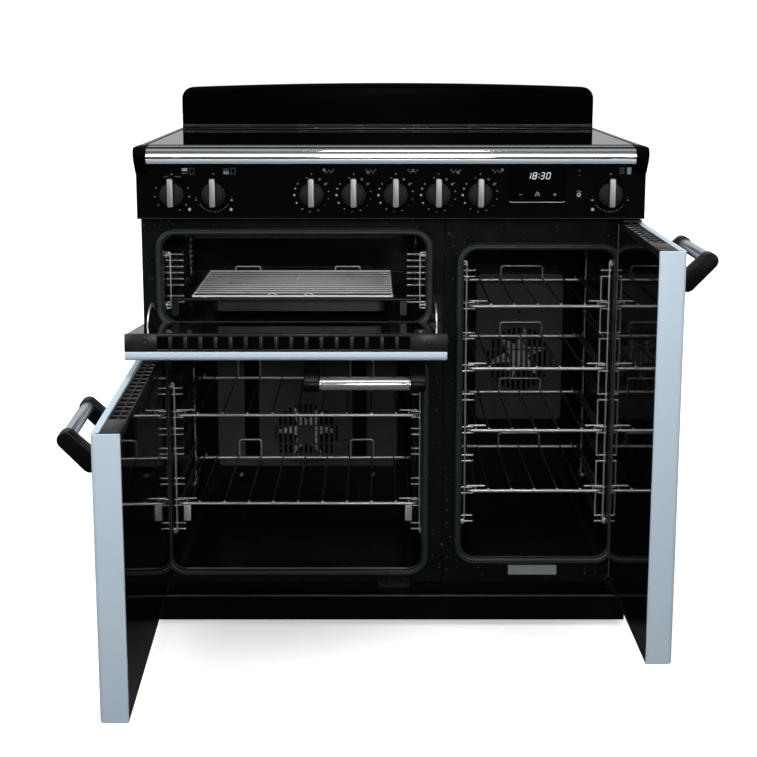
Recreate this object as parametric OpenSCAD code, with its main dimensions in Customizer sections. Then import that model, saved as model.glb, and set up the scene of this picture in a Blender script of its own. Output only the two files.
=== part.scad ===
// Freestanding electric range cooker, 900 mm wide: ceramic hob, grill
// compartment, wide lower oven and tall side oven.
// X to the right, Y to the back, Z up. Origin on the floor, in the middle of
// the width, in the plane of the oven front frame.

/* [Body] */
// Depth from the front frame to the back panel
body_d = 550; // [546:1:640]
// Depth of the oven cavities behind the front frame
cavity_d = 430; // [425:1:440]
// Height of the rear upstand at its middle, above the hob
upstand_h = 96; // [60:1:140]
// Thickness of the enamelled liner sheet
liner_t = 1.5; // [1:0.1:2]

/* [Doors] */
// Opening angle of the lower left door as modelled
main_open = 88; // [0:1:88]
// Opening angle of the tall right door as modelled
tall_open = 90; // [0:1:90]
// Opening angle of the drop-down grill door as modelled
grill_open = 84; // [0:1:84]

/* [Handles] */
// Diameter of the handle bars
bar_d = 21; // [16:0.5:22]
// Overall length of each handle
handle_l = 204; // [180:1:206]

/* [Knobs] */
// Diameter of the knob skirt
knob_d = 42; // [38:0.5:46]
// Width of the knob grip
grip_w = 10.2; // [9:0.1:13]

/* [Shelves] */
// Diameter of the shelf frame wire
shelf_rod = 6; // [5:0.1:6.2]
// Diameter of the thin shelf wires
shelf_wire = 3.2; // [2.4:0.1:4]

/* [Hidden] */
$fn = 48;
sheet = 1.5;
hob_z = 905;
fascia_y = -50;
knob_z = 821;
knob_x = [-385.4, -311.8, -139.5, -65.4, 8.6, 83.6, 157.2, 386.4];
door_out = -54;
door_in = -11;
pan_y = -42.5;
grill_pan_y = -39;
main_piv = [-429, -31, 0];
tall_piv = [429, -31, 0];
grill_piv = [0, -31, 566];
main_fan = [-176, 255];
tall_fan = [279, 423];
main_rungs = [441, 396, 363, 324.5, 265.5, 223.5, 177];
tall_rungs = [665, 604, 547, 485.5, 429.6, 366, 311, 248, 192];
grill_rungs = [695, 672, 649, 617];
pin_r = 4;
bore_r = 4.05;

// ---- helpers: boxes, bars and extrusions along each axis ----
module bx(x0, x1, y0, y1, z0, z1) translate([x0, y0, z0]) cube([x1 - x0, y1 - y0, z1 - z0]);
module cx(x0, x1, y, z, r) translate([x0, y, z]) rotate([0, 90, 0]) cylinder(r = r, h = x1 - x0);
module cy(x, y0, y1, z, r) translate([x, y1, z]) rotate([90, 0, 0]) cylinder(r = r, h = y1 - y0);
module cz(x, y, z0, z1, r) translate([x, y, z0]) cylinder(r = r, h = z1 - z0);
module ye(y0, y1) translate([0, y1, 0]) rotate([90, 0, 0]) linear_extrude(height = y1 - y0) children();
module xe(x0, x1) translate([x0, 0, 0]) rotate([90, 0, 90]) linear_extrude(height = x1 - x0) children();
module ze(z0, z1) translate([0, 0, z0]) linear_extrude(height = z1 - z0) children();
// rounded rectangle in a plane
module rr(x0, z0, x1, z1, r) {
    translate([x0 + r, z0]) square([x1 - x0 - 2 * r, z1 - z0]);
    translate([x0, z0 + r]) square([x1 - x0, z1 - z0 - 2 * r]);
    for (x = [x0 + r, x1 - r], z = [z0 + r, z1 - r]) translate([x, z]) circle(r = r);
}
// quarter bend of round wire, lying flat
module bend(x, y, z, bend_r, r, a) translate([x, y, z]) rotate([0, 0, a])
    rotate_extrude(angle = 90) translate([bend_r, 0]) circle(r = r);

// ---- cavity outlines, inner edge of each seal ----
module grill_hole(g = 0) rr(-414 - g, 581 - g, 66 + g, 743 + g, 26 + g);
module main_hole(g = 0) rr(-410 - g, 107 - g, 60 + g, 512 + g, 27 + g);
module tall_hole(g = 0) rr(132 - g, 130 - g, 410 + g, 716 + g, 27 + g);

// ---- where each door stands ----
module at_main() translate(main_piv) rotate([0, 0, -main_open]) translate(-main_piv) children();
module at_tall() translate(tall_piv) rotate([0, 0, tall_open]) translate(-tall_piv) children();
module at_grill() translate(grill_piv) rotate([grill_open, 0, 0]) translate(-grill_piv) children();

// ================= carcass =================
module side_panels() {
    color([0.05, 0.05, 0.055]) for (s = [-1, 1]) {
        // outer sheet with a folded front edge and a folded bottom edge
        bx(s > 0 ? 450 - sheet : -450, s > 0 ? 450 : -450 + sheet, 2, body_d, 62, 880);
        bx(s > 0 ? 432 : -450 + sheet, s > 0 ? 450 - sheet : -432, body_d - 3, body_d - sheet, 62, 880);
    }
}

module rear_panel() {
    color([0.45, 0.46, 0.47]) difference() {
        bx(-448.4, 448.4, body_d - sheet, body_d, 62, 880);
        // louvre slots behind the ovens
        for (i = [0:7], x = [-250, 250]) bx(x - 60, x + 60, body_d - 3, body_d + 1, 620 + i * 14, 624 + i * 14);
        // slot for a wall bracket that stops the cooker tipping
        bx(-35, 35, body_d - 3, body_d + 1, 84, 96);
        // clearance for the cable inlet
        cy(330, body_d - 3, body_d + 1, 330, 16.2);
    }
}

module base_tray() {
    color([0.3, 0.31, 0.32]) difference() {
        union() {
            bx(-448.5, 448.5, 20, body_d - sheet, 60, 62);
            bx(-448.5, 448.5, 20, 22, 62, 80);
            for (s = [-1, 1]) bx(s > 0 ? 447 : -448.5, s > 0 ? 448.5 : -447, 22, body_d - 3.2, 62, 90);
        }
        for (x = [-380, 380]) cz(x, 70, 50, 70, 5.1);
        // air slots in the floor
        for (x = [-240:60:240]) bx(x - 20, x + 20, 240, 248, 50, 70);
    }
}

module front_frame(x0, x1) {
    difference() {
        union() {
            bx(x0, x1, 0, 2, 82.6, 777);
            bx(x0 + 1.6, x0 + 3.1, 2, 16, 82.6, 777);
            bx(x1 - 1.5, x1, 2, 16, 82.6, 777);
            bx(x0 + 2, x1 - 1, 2, 16, 82.6, 84);
            bx(x0 + 2, x1 - 1, 2, 16, 775.5, 777);
        }
        children();
    }
}
module front_frames() {
    color([0.04, 0.045, 0.045]) {
        front_frame(-450, 97) {
            ye(-1, 3) { grill_hole(); main_hole(); }
            // slots for the grill door stays
            for (x = [-430, 81]) ye(-1, 20) rr(x - 3, 599, x + 3, 618, 2);
        }
        front_frame(98.5, 446.9) ye(-1, 3) tall_hole();
        bx(446.9, 450, 0, 2, 82.6, 777);
    }
}

module cavity(y1) {
    difference() {
        ye(2, y1 + liner_t) children(0);
        ye(1, y1) children(1);
    }
}
module grill_liner() {
    color([0.03, 0.03, 0.032]) cavity(cavity_d) { grill_hole(liner_t); grill_hole(); }
}
module main_oven_liner() {
    color([0.03, 0.03, 0.032]) difference() {
        cavity(cavity_d) { main_hole(liner_t); main_hole(); }
        cy(main_fan[0], cavity_d - 1, cavity_d + 5, main_fan[1], 8);
    }
}
module tall_oven_liner() {
    color([0.03, 0.03, 0.032]) difference() {
        cavity(cavity_d) { tall_hole(liner_t); tall_hole(); }
        cy(tall_fan[0], cavity_d - 1, cavity_d + 5, tall_fan[1], 8);
    }
}

module door_seals() {
    color([0.25, 0.3, 0.28]) {
        difference() { ye(-9, 0) grill_hole(11.5); ye(-10, 1) grill_hole(); }
        difference() { ye(-9, 0) main_hole(11.5); ye(-10, 1) main_hole(); }
        difference() { ye(-9, 0) tall_hole(11.5); ye(-10, 1) tall_hole(); }
    }
}

// ================= hob =================
module hob_glass() {
    color([0.02, 0.02, 0.025]) ze(899, 904.5) rr(-439.6, -1.6, 439.6, body_d - 46.4, 3);
}
module hob_surround() {
    color([0.05, 0.05, 0.055]) difference() {
        bx(-450, 450, -2, body_d, 880.2, hob_z);
        bx(-440, 440, -3, body_d - 46.3, 899, hob_z + 1);
        bx(-425, 425, -3, body_d - 62, 870, hob_z);
        // the outer corners are broken at 45 degrees
        for (s = [-1, 1]) translate([s * 450, 200, hob_z]) rotate([0, 45, 0]) cube([3, 900, 3], center = true);
    }
}
// a half-round front rail with a shallow groove in it
module front_rail() {
    color([0.85, 0.86, 0.87]) difference() {
        union() {
            cx(-428, 428, -52.75, 889.75, 15.25);
            bx(-428, 428, -52.75, -2.2, 874.6, hob_z);
        }
        bx(-430, 430, -80, -66.2, 884.5, 886.5);
    }
}
module rail_end_caps() {
    color([0.03, 0.03, 0.032]) for (s = [-1, 1]) {
        difference() {
            xe(s > 0 ? 428.1 : -451, s > 0 ? 451 : -428.1) {
                translate([-52, 889]) circle(r = 16);
                polygon([[-2.2, 874.7], [-2.2, 905], [-52, 905], [-68, 889], [-66.5, 880],
                    [-55, 858], [-50.2, 858], [-50.2, 874.7]]);
            }
            bx(s > 0 ? 420 : -460, s > 0 ? 460 : -420, fascia_y - 0.1, 0, 850, 874.7);
            // the outer side leans inwards to the bottom
            translate([s * 451, -80, 905]) rotate([0, s * 3.05, 0]) translate([s > 0 ? 0 : -10, 0, -60]) cube([10, 100, 61]);
        }
    }
}

// ================= control panel =================
module control_fascia() {
    color([0.03, 0.03, 0.032]) difference() {
        union() {
            bx(-448, 448, fascia_y, fascia_y + sheet, 777.5, 874.5);
            bx(-448, 448, fascia_y + sheet, -2.2, 873, 874.5);
            bx(-448, 448, fascia_y + sheet, -2.2, 777.5, 779);
            for (s = [-1, 1]) bx(s > 0 ? 446.5 : -448, s > 0 ? 448 : -446.5, fascia_y + sheet, -2.2, 779, 873);
        }
        for (x = knob_x) cy(x, fascia_y - 1, fascia_y + 3, knob_z, 3.5);
        bx(208.6, 305.8, fascia_y - 1, fascia_y + 3, 804, 869.5);
    }
}
module clock_module() {
    color([0.02, 0.02, 0.025]) {
        bx(208.8, 305.6, fascia_y, fascia_y + 1.5, 804.2, 869.3);
        difference() {
            bx(204, 311, fascia_y + 1.6, -20, 800, 871.5);
            bx(206, 309, fascia_y + 4, -22, 802, 869.5);
        }
        bx(214, 300, fascia_y + 1.4, fascia_y + 2.4, 808, 866);
    }
}
module regulator(x) {
    difference() {
        union() {
            bx(x - 19, x + 19, fascia_y + 1.6, -14, knob_z - 19, knob_z + 19);
            cy(x, -66, fascia_y + 2, knob_z, 3);
        }
        for (s = [-1, 1]) bx(x + s * 14 - 2, x + s * 14 + 2, -18, -13, knob_z - 12, knob_z + 12);
    }
}
module control_regulators() {
    color([0.6, 0.6, 0.58]) for (x = knob_x) regulator(x);
}
module knob(i) {
    // skirt, grip with a long pointer end and a bore for the spindle
    x = knob_x[i];
    color([0.55, 0.56, 0.57]) difference() {
        union() {
            cy(x, -57.5, -51.2, knob_z, knob_d / 2);
            cy(x, -60, -57.4, knob_z, knob_d / 2 - 3);
            ye(-75.5, -59) rr(x - grip_w / 2, knob_z - 24.5, x + grip_w / 2, knob_z + 30, 2.2);
        }
        cy(x, -66.5, -51, knob_z, 3.05);
    }
}

// ================= upstand and plinth =================
module upstand_shape(g) intersection() {
    rr(-445 + g, 860, 445 - g, hob_z + upstand_h - g, 25);
    translate([0, hob_z + upstand_h - g - 11029]) circle(r = 11029, $fn = 720);
    translate([-500, hob_z]) square([1000, 300]);
}
module rear_upstand() {
    color([0.03, 0.03, 0.032]) difference() {
        ye(body_d - 45.8, body_d) upstand_shape(0);
        ye(body_d - 44.3, body_d - 1.5) upstand_shape(1.5);
        // steam outlets along the foot of the front face
        for (i = [-3:3]) bx(i * 122 - 12, i * 122 + 12, body_d - 50, body_d - 44, hob_z + 2, hob_z + 6);
    }
}
module plinth() {
    color([0.03, 0.03, 0.032]) difference() {
        union() {
            bx(-441, 441, -15, -13.5, 12, 61);
            bx(-441, 441, -13.5, 20, 59.5, 61);
            for (s = [-1, 1]) bx(s > 0 ? 439.5 : -441, s > 0 ? 441 : -439.5, -13.5, 90, 12, 59.4);
        }
    }
}
module levelling_feet() {
    color([0.2, 0.2, 0.2]) for (x = [-380, 380]) {
        cz(x, 70, 0, 9, 21);
        translate([x, 70, 9]) cylinder(r1 = 21, r2 = 12, h = 7);
        cz(x, 70, 15.9, 74, 5);
        // locking nut below the floor pan
        translate([x, 70, 51.5]) cylinder(r = 11, h = 8, $fn = 6);
    }
}
module roller_brackets() {
    color([0.5, 0.5, 0.52]) for (x = [-380, 380]) {
        difference() {
            union() {
                for (s = [-1, 1]) bx(x + s * 14 - 1.5, x + s * 14 + 1.5, body_d - 86, body_d - 54, 12, 60);
                bx(x - 15.5, x + 15.5, body_d - 86, body_d - 54, 57, 60);
            }
        }
        cx(x - 18, x + 18, body_d - 70, 20, 4);
        for (s = [-1, 1]) cx(x + s * 18 - 1.5, x + s * 18 + 1.5, body_d - 70, 20, 7);
    }
}
module roller(x) {
    color([0.12, 0.12, 0.12]) difference() {
        union() {
            cx(x - 11, x + 11, body_d - 70, 20, 20);
        }
        cx(x - 12, x + 12, body_d - 70, 20, bore_r);
        // shallow recess in each face
        for (s = [-1, 1]) difference() {
            cx(x + s * 11 - 3, x + s * 11 + 3, body_d - 70, 20, 15);
            cx(x + s * 11 - 4, x + s * 11 + 4, body_d - 70, 20, 8);
        }
    }
}
module rear_roller_left() roller(-380);
module rear_roller_right() roller(380);

// ================= hinges, catches and small pieces =================
module side_hinge_low(s) {
    // plate under the door, carrying an upright pin
    bx(s > 0 ? 412 : -446, s > 0 ? 446 : -412, -42, 20, 77, 81);
    bx(s > 0 ? 412 : -446, s > 0 ? 446 : -412, 16.5, 20, 62.5, 77.5);
    cz(s * 429, -31, 80, 102, pin_r);
    cz(s * 429, -31, 81, 91.4, 7);
}
module hinge_brackets() {
    color([0.7, 0.71, 0.72]) {
        for (s = [-1, 1]) side_hinge_low(s);
        // plate between the grill door and the lower door
        bx(-446, -412, -42, 0, 535.6, 538);
        bx(-446, -434, -2, 0, 538, 552);
        cz(-429, -31, 514, 536, pin_r);
        // plate over the tall door
        bx(412, 446, -42, 0, 770.5, 774);
        bx(434, 446, -2, 0, 760, 771);
        cz(429, -31, 750, 771, pin_r);
        // ears of the grill door with their pins
        bx(-449, -446, -40, 0, 556, 576);
        cx(-446.5, -428, -31, 566, pin_r);
        bx(93.6, 96.4, -40, 0, 556, 576);
        cx(76, 94, -31, 566, pin_r);
        // strip below the frame with a catch peg for each side door
        bx(-22, 38, -8, 20, 77, 81);
        bx(-22, 38, 16.5, 20, 62.5, 77.5);
        for (x = [0, 26]) cz(x, -4, 80.5, 88, 2.5);
    }
}
module frame_screws() {
    color([0.75, 0.75, 0.76]) {
        for (p = [[-437, 660], [-437, 380], [88, 540], [107, 745], [440, 745], [107, 105], [440, 105]])
            translate([p[0], 0, p[1]]) rotate([90, 0, 0]) difference() {
                cylinder(r1 = 4, r2 = 3, h = 2);
                translate([-3, -0.5, 1.2]) cube([6, 1, 2]);
                translate([-0.5, -3, 1.2]) cube([1, 6, 2]);
            }
    }
}
module cable_inlet() {
    // terminal housing inside the back panel and its open collar
    color([0.15, 0.15, 0.16]) difference() {
        union() {
            cy(330, body_d - 16, body_d, 330, 16);
            bx(285, 375, body_d - 34, body_d - 15.9, 295, 385);
        }
        cy(330, body_d - 18, body_d + 1, 330, 10);
        bx(287, 373, body_d - 32, body_d - 18, 297, 383);
    }
}

// ================= inside the ovens =================
module ladder(xw, xu, xr, s, rungs, z0, z1, f = 9) {
    // xw wall, xu upright, xr rail centre; s points into the oven
    for (y = [40, 310]) {
        bx(xu - 1.9, xu + 1.9, y - 2, y + 2, z0, z1);
        for (z = [z0 + 8, z1 - 8]) bx(min(xw, xu), max(xw, xu), y - 1.5, y + 1.5, z - 2.5, z + 2.5);
    }
    for (z = rungs, d = [-5.75, 5.75]) {
        cy(xr, 41, 309.5, z + d, 1.7);
        bx(s > 0 ? xw + 1.2 : xr - f, s > 0 ? xr + f : xw - 1.2, 38.5, 41.5, z + d - 1.8, z + d + 1.8);
        bx(s > 0 ? xu : xr - 2.2, s > 0 ? xr + 2.2 : xu, 309, 311.5, z + d - 1.8, z + d + 1.8);
    }
}
module shelf_ladders() {
    color([0.75, 0.75, 0.76]) {
        ladder(-410, -404.6, -398, 1, main_rungs, 162, 458);
        ladder(60, 56.6, 50, -1, main_rungs, 162, 458);
        ladder(132, 141.5, 148, 1, tall_rungs, 181, 690);
        ladder(410, 405.5, 399, -1, tall_rungs, 181, 690);
        ladder(-414, -405.6, -399, 1, grill_rungs, 598, 706, 17);
        ladder(66, 55.6, 49, -1, grill_rungs, 598, 706, 17);
    }
}
// upright slots in bands, inside a circle
module louvres(c, r, low, hub) {
    bands = [[-100, -44.5], [-41.5, -21.5], [-18.5, 18.5], [21.5, 41.5], [44.5, 100]];
    for (i = [-6:6], b = bands) let (x = i * 11, h = sqrt(r * r - x * x) - 3, z0 = max(b[0], -h, -low), z1 = min(b[1], h))
        if (z1 - z0 > 4 && (abs(x) > hub || abs(b[0] + b[1]) > 1))
            bx(c[0] + x - 2.7, c[0] + x + 2.7, 300, 500, c[1] + z0, c[1] + z1);
}
module fan_cover(x0, x1, z0, z1, c, low, hub) {
    difference() {
        union() {
            ye(cavity_d - 50, cavity_d - 48.8) rr(x0, z0, x1, z1, 12);
            difference() {
                ye(cavity_d - 49, cavity_d) rr(x0, z0, x1, z1, 12);
                ye(cavity_d - 60, cavity_d + 1) rr(x0 + 1.2, z0 + 1.2, x1 - 1.2, z1 - 1.2, 10.8);
            }
        }
        louvres(c, 71, low, hub);
        // hot air leaves through side slots
        for (z = [z0 + 30:24:z1 - 30], x = [x0, x1]) bx(x - 3, x + 3, cavity_d - 40, cavity_d - 12, z - 5, z + 5);
        children();
    }
}
module main_fan_cover() color([0.3, 0.31, 0.32]) fan_cover(-364, 20, 186, 498, main_fan, 64, 18) {
    // tall openings to the left and right of the fan
    for (x = [-307, -76]) bx(x, x + 31, 300, 400, 206, 480);
}
module tall_fan_cover() color([0.3, 0.31, 0.32]) fan_cover(187, 370, 290, 606, tall_fan, 71, -1) {
    cy(tall_fan[0], 300, 400, tall_fan[1] + 101, 3);
}
// six-armed plate with a blade on each arm
module fan_rotor(c, turn) {
    color([0.6, 0.6, 0.62]) difference() {
        union() {
            ye(cavity_d - 14, cavity_d - 12.5) translate(c) rotate([0, 0, turn])
                polygon([for (a = [0:30:330]) (a % 60 == 0 ? 64 : 24) * [cos(a), sin(a)]]);
            cy(c[0], cavity_d - 26, cavity_d - 8, c[1], 12);
            for (a = [0:60:300]) translate([c[0], 0, c[1]]) rotate([0, -turn - a, 0])
                bx(18, 60, cavity_d - 34, cavity_d - 12.6, -0.8, 0.8);
        }
        cy(c[0], cavity_d - 24, cavity_d, c[1], 3.05);
    }
}
module fan_rotor_main() fan_rotor(main_fan, 0);
module fan_rotor_tall() fan_rotor(tall_fan, 15);
module fan_motors() {
    color([0.5, 0.5, 0.5]) for (c = [main_fan, tall_fan]) {
        cy(c[0], cavity_d - 23, cavity_d + 8, c[1], 3);
        cy(c[0], cavity_d + 6, cavity_d + 55, c[1], 32);
        bx(c[0] - 45, c[0] + 45, cavity_d + liner_t + 0.1, cavity_d + 7, c[1] - 12, c[1] + 12);
    }
}
module heating_elements() {
    color([0.35, 0.33, 0.32]) {
        // element bent round each fan, open at the bottom
        for (c = [main_fan, tall_fan]) translate([c[0], cavity_d - 24, c[1]]) rotate([90, 0, 0]) rotate([0, 0, -35])
            rotate_extrude(angle = 250) translate([70, 0]) circle(r = 3.4);
        // grill element looped below the roof of the grill compartment
        for (y = [80:50:330]) cx(-370, 22, y, 728, 3.4);
        for (i = [0:4]) cy(i % 2 == 0 ? 22 : -370, 80 + i * 50, 130 + i * 50, 728, 3.4);
        for (p = [[-370, 80], [-370, 330], [22, 80], [22, 330], [-370, 130], [22, 130], [-370, 180], [22, 180],
            [-370, 230], [22, 230], [-370, 280], [22, 280]]) translate([p[0], p[1], 728]) sphere(r = 3.4);
        for (x = [-300, -48]) cz(x, 80, 728, 743, 3);
        // radiant heaters pressed up against the hob glass
        for (h = [[-290, 120, 75], [-290, 360, 95], [0, 230, 115], [290, 120, 95], [290, 360, 75]])
            difference() {
                cz(h[0], h[1], 872, 898.9, h[2]);
                cz(h[0], h[1], 878, 900, h[2] - 10);
            }
    }
}

module shelf(xl, xr, z, wires, hoops, hoop_h, tabs) {
    y0 = 35;
    y1 = 320;
    r = shelf_rod / 2;
    w = shelf_wire / 2;
    c = 7;
    cx(xl + c, xr - c, y0, z, r);
    cx(xl + c, xr - c, y1, z, r);
    for (x = [xl, xr]) cy(x, y0 + c, y1 - c, z, r);
    bend(xl + c, y0 + c, z, c, r, 180);
    bend(xr - c, y0 + c, z, c, r, 270);
    bend(xr - c, y1 - c, z, c, r, 0);
    bend(xl + c, y1 - c, z, c, r, 90);
    for (x = wires) cy(x, y0 - r + 0.4, y1 + r - 0.4, z + r + w - 1, w);
    // rear hoops stop food sliding off the back
    for (h = hoops) {
        for (x = h) cz(x, y1, z, z + hoop_h - 6, w);
        cx(h[0] + 6, h[1] - 6, y1, z + hoop_h, w);
        translate([h[0] + 6, y1, z + hoop_h - 6]) rotate([90, 0, 0]) bend(0, 0, 0, 6, w, 90);
        translate([h[1] - 6, y1, z + hoop_h - 6]) rotate([90, 0, 0]) bend(0, 0, 0, 6, w, 0);
    }
    // raised side guards
    for (s = [-1, 1]) let (x = s < 0 ? xl + 14 : xr - 14) {
        for (y = [y0, y1]) cz(x, y, z, z + 10, 1.6);
        cy(x, y0, y1, z + 10, 1.6);
        cx(s < 0 ? xl - 2 : xr - 32, s < 0 ? xl + 32 : xr + 2, y0, z + 10, 1.6);
    }
    if (tabs) for (x = [xl + 7.5, xr - 20.5]) bx(x, x + 13, y0 - 0.8, y0 + 1.2, z - 34, z - 1);
}
main_wires = [for (i = [0:8]) -360 + i * 46.5];
tall_wires = [for (i = [0:4]) 186.5 + i * 43.5];
module main_shelf_upper() color([0.8, 0.8, 0.81])
    shelf(-398, 50, 396, main_wires, [[-313, -267], [-79, -31]], 39, false);
module main_shelf_lower() color([0.8, 0.8, 0.81])
    shelf(-398, 50, 223.5, main_wires, [[-313, -267], [-79, -31]], 39, true);
module tall_shelf(z) color([0.8, 0.8, 0.81]) shelf(148, 399, z, tall_wires, [[232, 317.5]], 29, false);
module tall_shelf_1() tall_shelf(604);
module tall_shelf_2() tall_shelf(485.5);
module tall_shelf_3() tall_shelf(366);
module tall_shelf_4() tall_shelf(248);

module grill_pan() {
    color([0.35, 0.36, 0.37]) {
        z = 617;
        r = 3;
        for (y = [35, 344]) cx(-399, 49, y, z, r);
        for (x = [-399, 49]) cy(x, 35, 344, z, r);
        for (x = [-399, 49], y = [35, 344]) translate([x, y, z]) sphere(r = r);
        difference() {
            union() {
                bx(-352, 2, 36, 343, z - 1.2, z + 0.4);
                ze(z - 25, z - 1) rr(-330, 50, -8, 330, 18);
            }
            ze(z - 23.8, z + 2) rr(-328.8, 51.2, -9.2, 328.8, 16.8);
        }
        // hanging tabs at the front corners
        for (x = [-403, 18.6]) bx(x, x + 12, 33.4, 35.4, 587.5, z);
        // guard along the back
        cx(-340, -36, 344.4, z + 9.5, 1.6);
        for (x = [-340, -36]) {
            cz(x, 344.4, z, z + 9.5, 1.5);
            translate([x, 344.4, z + 9.5]) sphere(r = 1.6);
        }
        for (h = [[-316, -260], [-118, -62]]) {
            cx(h[0], h[1], 338, z + 8, 1.5);
            for (x = h) {
                cz(x, 338, z - 1, z + 8, 1.4);
                translate([x, 338, z + 8]) sphere(r = 1.5);
            }
        }
    }
}
module grill_trivet() {
    color([0.85, 0.85, 0.86]) {
        z = 620.3;
        for (y = [50, 330]) cx(-367, 4, y, z, 2.7);
        for (x = [-367, -181, 4]) cy(x, 50, 330, z, 2.2);
        for (x = [-367, 4], y = [50, 330]) translate([x, y, z]) sphere(r = 2.7);
        // short legs that stand on the flange of the pan
        for (x = [-345, -5], y = [50, 330]) cz(x, y, 617.5, z, 1.8);
        for (i = [1:12]) cx(-366.5, 3.5, 50 + i * 21.5, z + 1.7, 1.6);
    }
}

// ================= doors =================
// outer painted tray of a side-hinged door; xh hinge edge, xf free edge
module tray_plan(xh, xf, g) intersection() {
    a = min(xh, xf) + g;
    b = max(xh, xf) - g;
    y1 = pan_y + (g > 0 ? 2 : 0);
    union() {
        translate([a + 8 - g, door_out + g]) square([b - a - 16 + 2 * g, y1 - door_out - g]);
        translate([a, door_out + 8]) square([b - a, y1 - door_out - 8]);
        for (x = [a + 8 - g, b - 8 + g]) translate([x, door_out + 8]) circle(r = 8 - g);
    }
    translate([a - 1, door_out - 1]) square([b - a + 2, y1 - door_out + 1]);
}
module side_door_outer(xh, xf, z0, z1) {
    s = sign(xf - xh);
    difference() {
        union() {
            ze(z0, z1) tray_plan(xh, xf, 0);
            // the free edge is painted over the whole thickness
            bx(s > 0 ? xf - sheet : xf, s > 0 ? xf : xf + sheet, -46, door_in, z0, z1);
        }
        ze(z0 + sheet, z1 - sheet) tray_plan(xh, xf, sheet);
    }
}
// inner tray; the corner by the hinge is cut back so that it swings clear
module inner_plan(xh, xf, g) {
    s = sign(xf - xh);
    polygon([[xh + s * g, pan_y - (g > 0 ? 2 : 0)], [xf - s * (sheet + g), pan_y - (g > 0 ? 2 : 0)],
        [xf - s * (sheet + g), door_in - g], [xh + s * (13 + g * 0.4), door_in - g], [xh + s * g, door_in - 13 - g * 0.4]]);
}
module side_door_inner(xh, xf, z0, z1) {
    difference() {
        ze(z0 + 12, z1 - 12) inner_plan(xh, xf, 0);
        difference() {
            ze(z0 + 14, z1 - 14) inner_plan(xh, xf, 1.2);
        }
        // clearance for the bosses of the vent caps
        cz(xh + sign(xf - xh) * 18, -31, z0, z0 + 30, 8.2);
        cz(xh + sign(xf - xh) * 18, -31, z1 - 30, z1, 8.2);
    }
}
module vent_cap(xh, xf, z0, z1, up) {
    s = sign(xf - xh);
    px = xh + s * 18;
    n = floor((abs(xf - xh) - 70) / 25);
    difference() {
        union() {
            ze(z0, z1) inner_plan(xh, xf, 0);
            cz(px, -31, up ? z0 - 12 : z0, up ? z1 : z1 + 12, 8);
        }
        // two rows of air slots
        for (i = [0:n - 1], y = [-38.5, -25]) let (x = xh + s * (40 + i * 25 + 10))
            bx(x - 10, x + 10, y, y + 10, z0 - 1, z1 + 1);
        cz(px, -31, z0 - 14, z1 + 14, bore_r);
    }
}
module handle_end(x0, x1, top) {
    difference() {
        xe(x0, x1) {
            translate([door_out - 42, top - 20]) circle(r = 13);
            polygon([[door_out, top - 37], [door_out, top - 69], [door_out - 10, top - 69],
                [door_out - 51.6, top - 28.8], [door_out - 42, top - 20], [door_out - 32.9, top - 10.7]]);
        }
    }
}
module handle(x0, x1, top) {
    m = (x0 + x1) / 2;
    a = m - handle_l / 2;
    b = m + handle_l / 2;
    // two cranked ends and the bar held between them
    difference() {
        handle_end(a, a + 26, top);
        cx(a + 6, a + 30, door_out - 42, top - 20, bar_d / 2 + 0.05);
    }
    difference() {
        handle_end(b - 26, b, top);
        cx(b - 30, b - 6, door_out - 42, top - 20, bar_d / 2 + 0.05);
    }
    cx(a + 6.2, b - 6.2, door_out - 42, top - 20, bar_d / 2);
}

module main_door_outer() color([0.72, 0.76, 0.82]) at_main() side_door_outer(-447, 92, 92, 534);
module main_door_inner() color([0.04, 0.04, 0.045]) at_main() side_door_inner(-447, 92, 92, 534);
module main_door_vents() color([0.05, 0.05, 0.05]) at_main() {
    vent_cap(-447, 92, 522, 534, true);
    vent_cap(-447, 92, 92, 104, false);
}
module main_door_handle() color([0.6, 0.61, 0.62]) at_main() handle(-147, 57, 534);

module tall_door_outer() color([0.72, 0.76, 0.82]) at_tall() side_door_outer(447, 98, 92, 768);
module tall_door_inner() color([0.04, 0.04, 0.045]) at_tall() side_door_inner(447, 98, 92, 768);
module tall_door_vents() color([0.05, 0.05, 0.05]) at_tall() {
    vent_cap(447, 98, 756, 768, true);
    vent_cap(447, 98, 92, 104, false);
}
module tall_door_handle() color([0.6, 0.61, 0.62]) at_tall() handle(122, 326, 768);

module grill_door_outer() color([0.72, 0.76, 0.82]) at_grill() difference() {
    xe(-443.5, 92) intersection() {
        union() {
            translate([door_out, 554]) square([grill_pan_y - door_out, 203]);
            translate([door_out + 8, 546]) square([grill_pan_y - door_out - 8, 219]);
            for (z = [554, 757]) translate([door_out + 8, z]) circle(r = 8);
        }
        translate([door_out - 1, 540]) square([grill_pan_y - door_out + 1, 230]);
    }
    xe(-442, 90.5) {
        translate([door_out + sheet, 554]) square([20, 203]);
        translate([door_out + 8, 546 + sheet]) square([20, 219 - 2 * sheet]);
        for (z = [554, 757]) translate([door_out + 8, z]) circle(r = 8 - sheet);
    }
}
module grill_door_inner() color([0.04, 0.04, 0.045]) at_grill() difference() {
    xe(-443.5, 92) polygon([[grill_pan_y, 546], [grill_pan_y, 753], [door_in, 753], [door_in, 559], [door_in - 13, 546]]);
    xe(-442.3, 90.8) polygon([[grill_pan_y - 2, 547.2], [grill_pan_y - 2, 754], [door_in - 1.2, 754], [door_in - 1.2, 559.5],
        [door_in - 13.5, 547.2]]);
    // holes for the hinge pins
    cx(-450, -430, -31, 566, bore_r);
    cx(75, 100, -31, 566, bore_r);
    // feet of the stays pass through the inner sheet
    for (x = [-430, 81]) bx(x - 1.6, x + 1.6, -14, -10, 604.9, 619.1);
}
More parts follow.
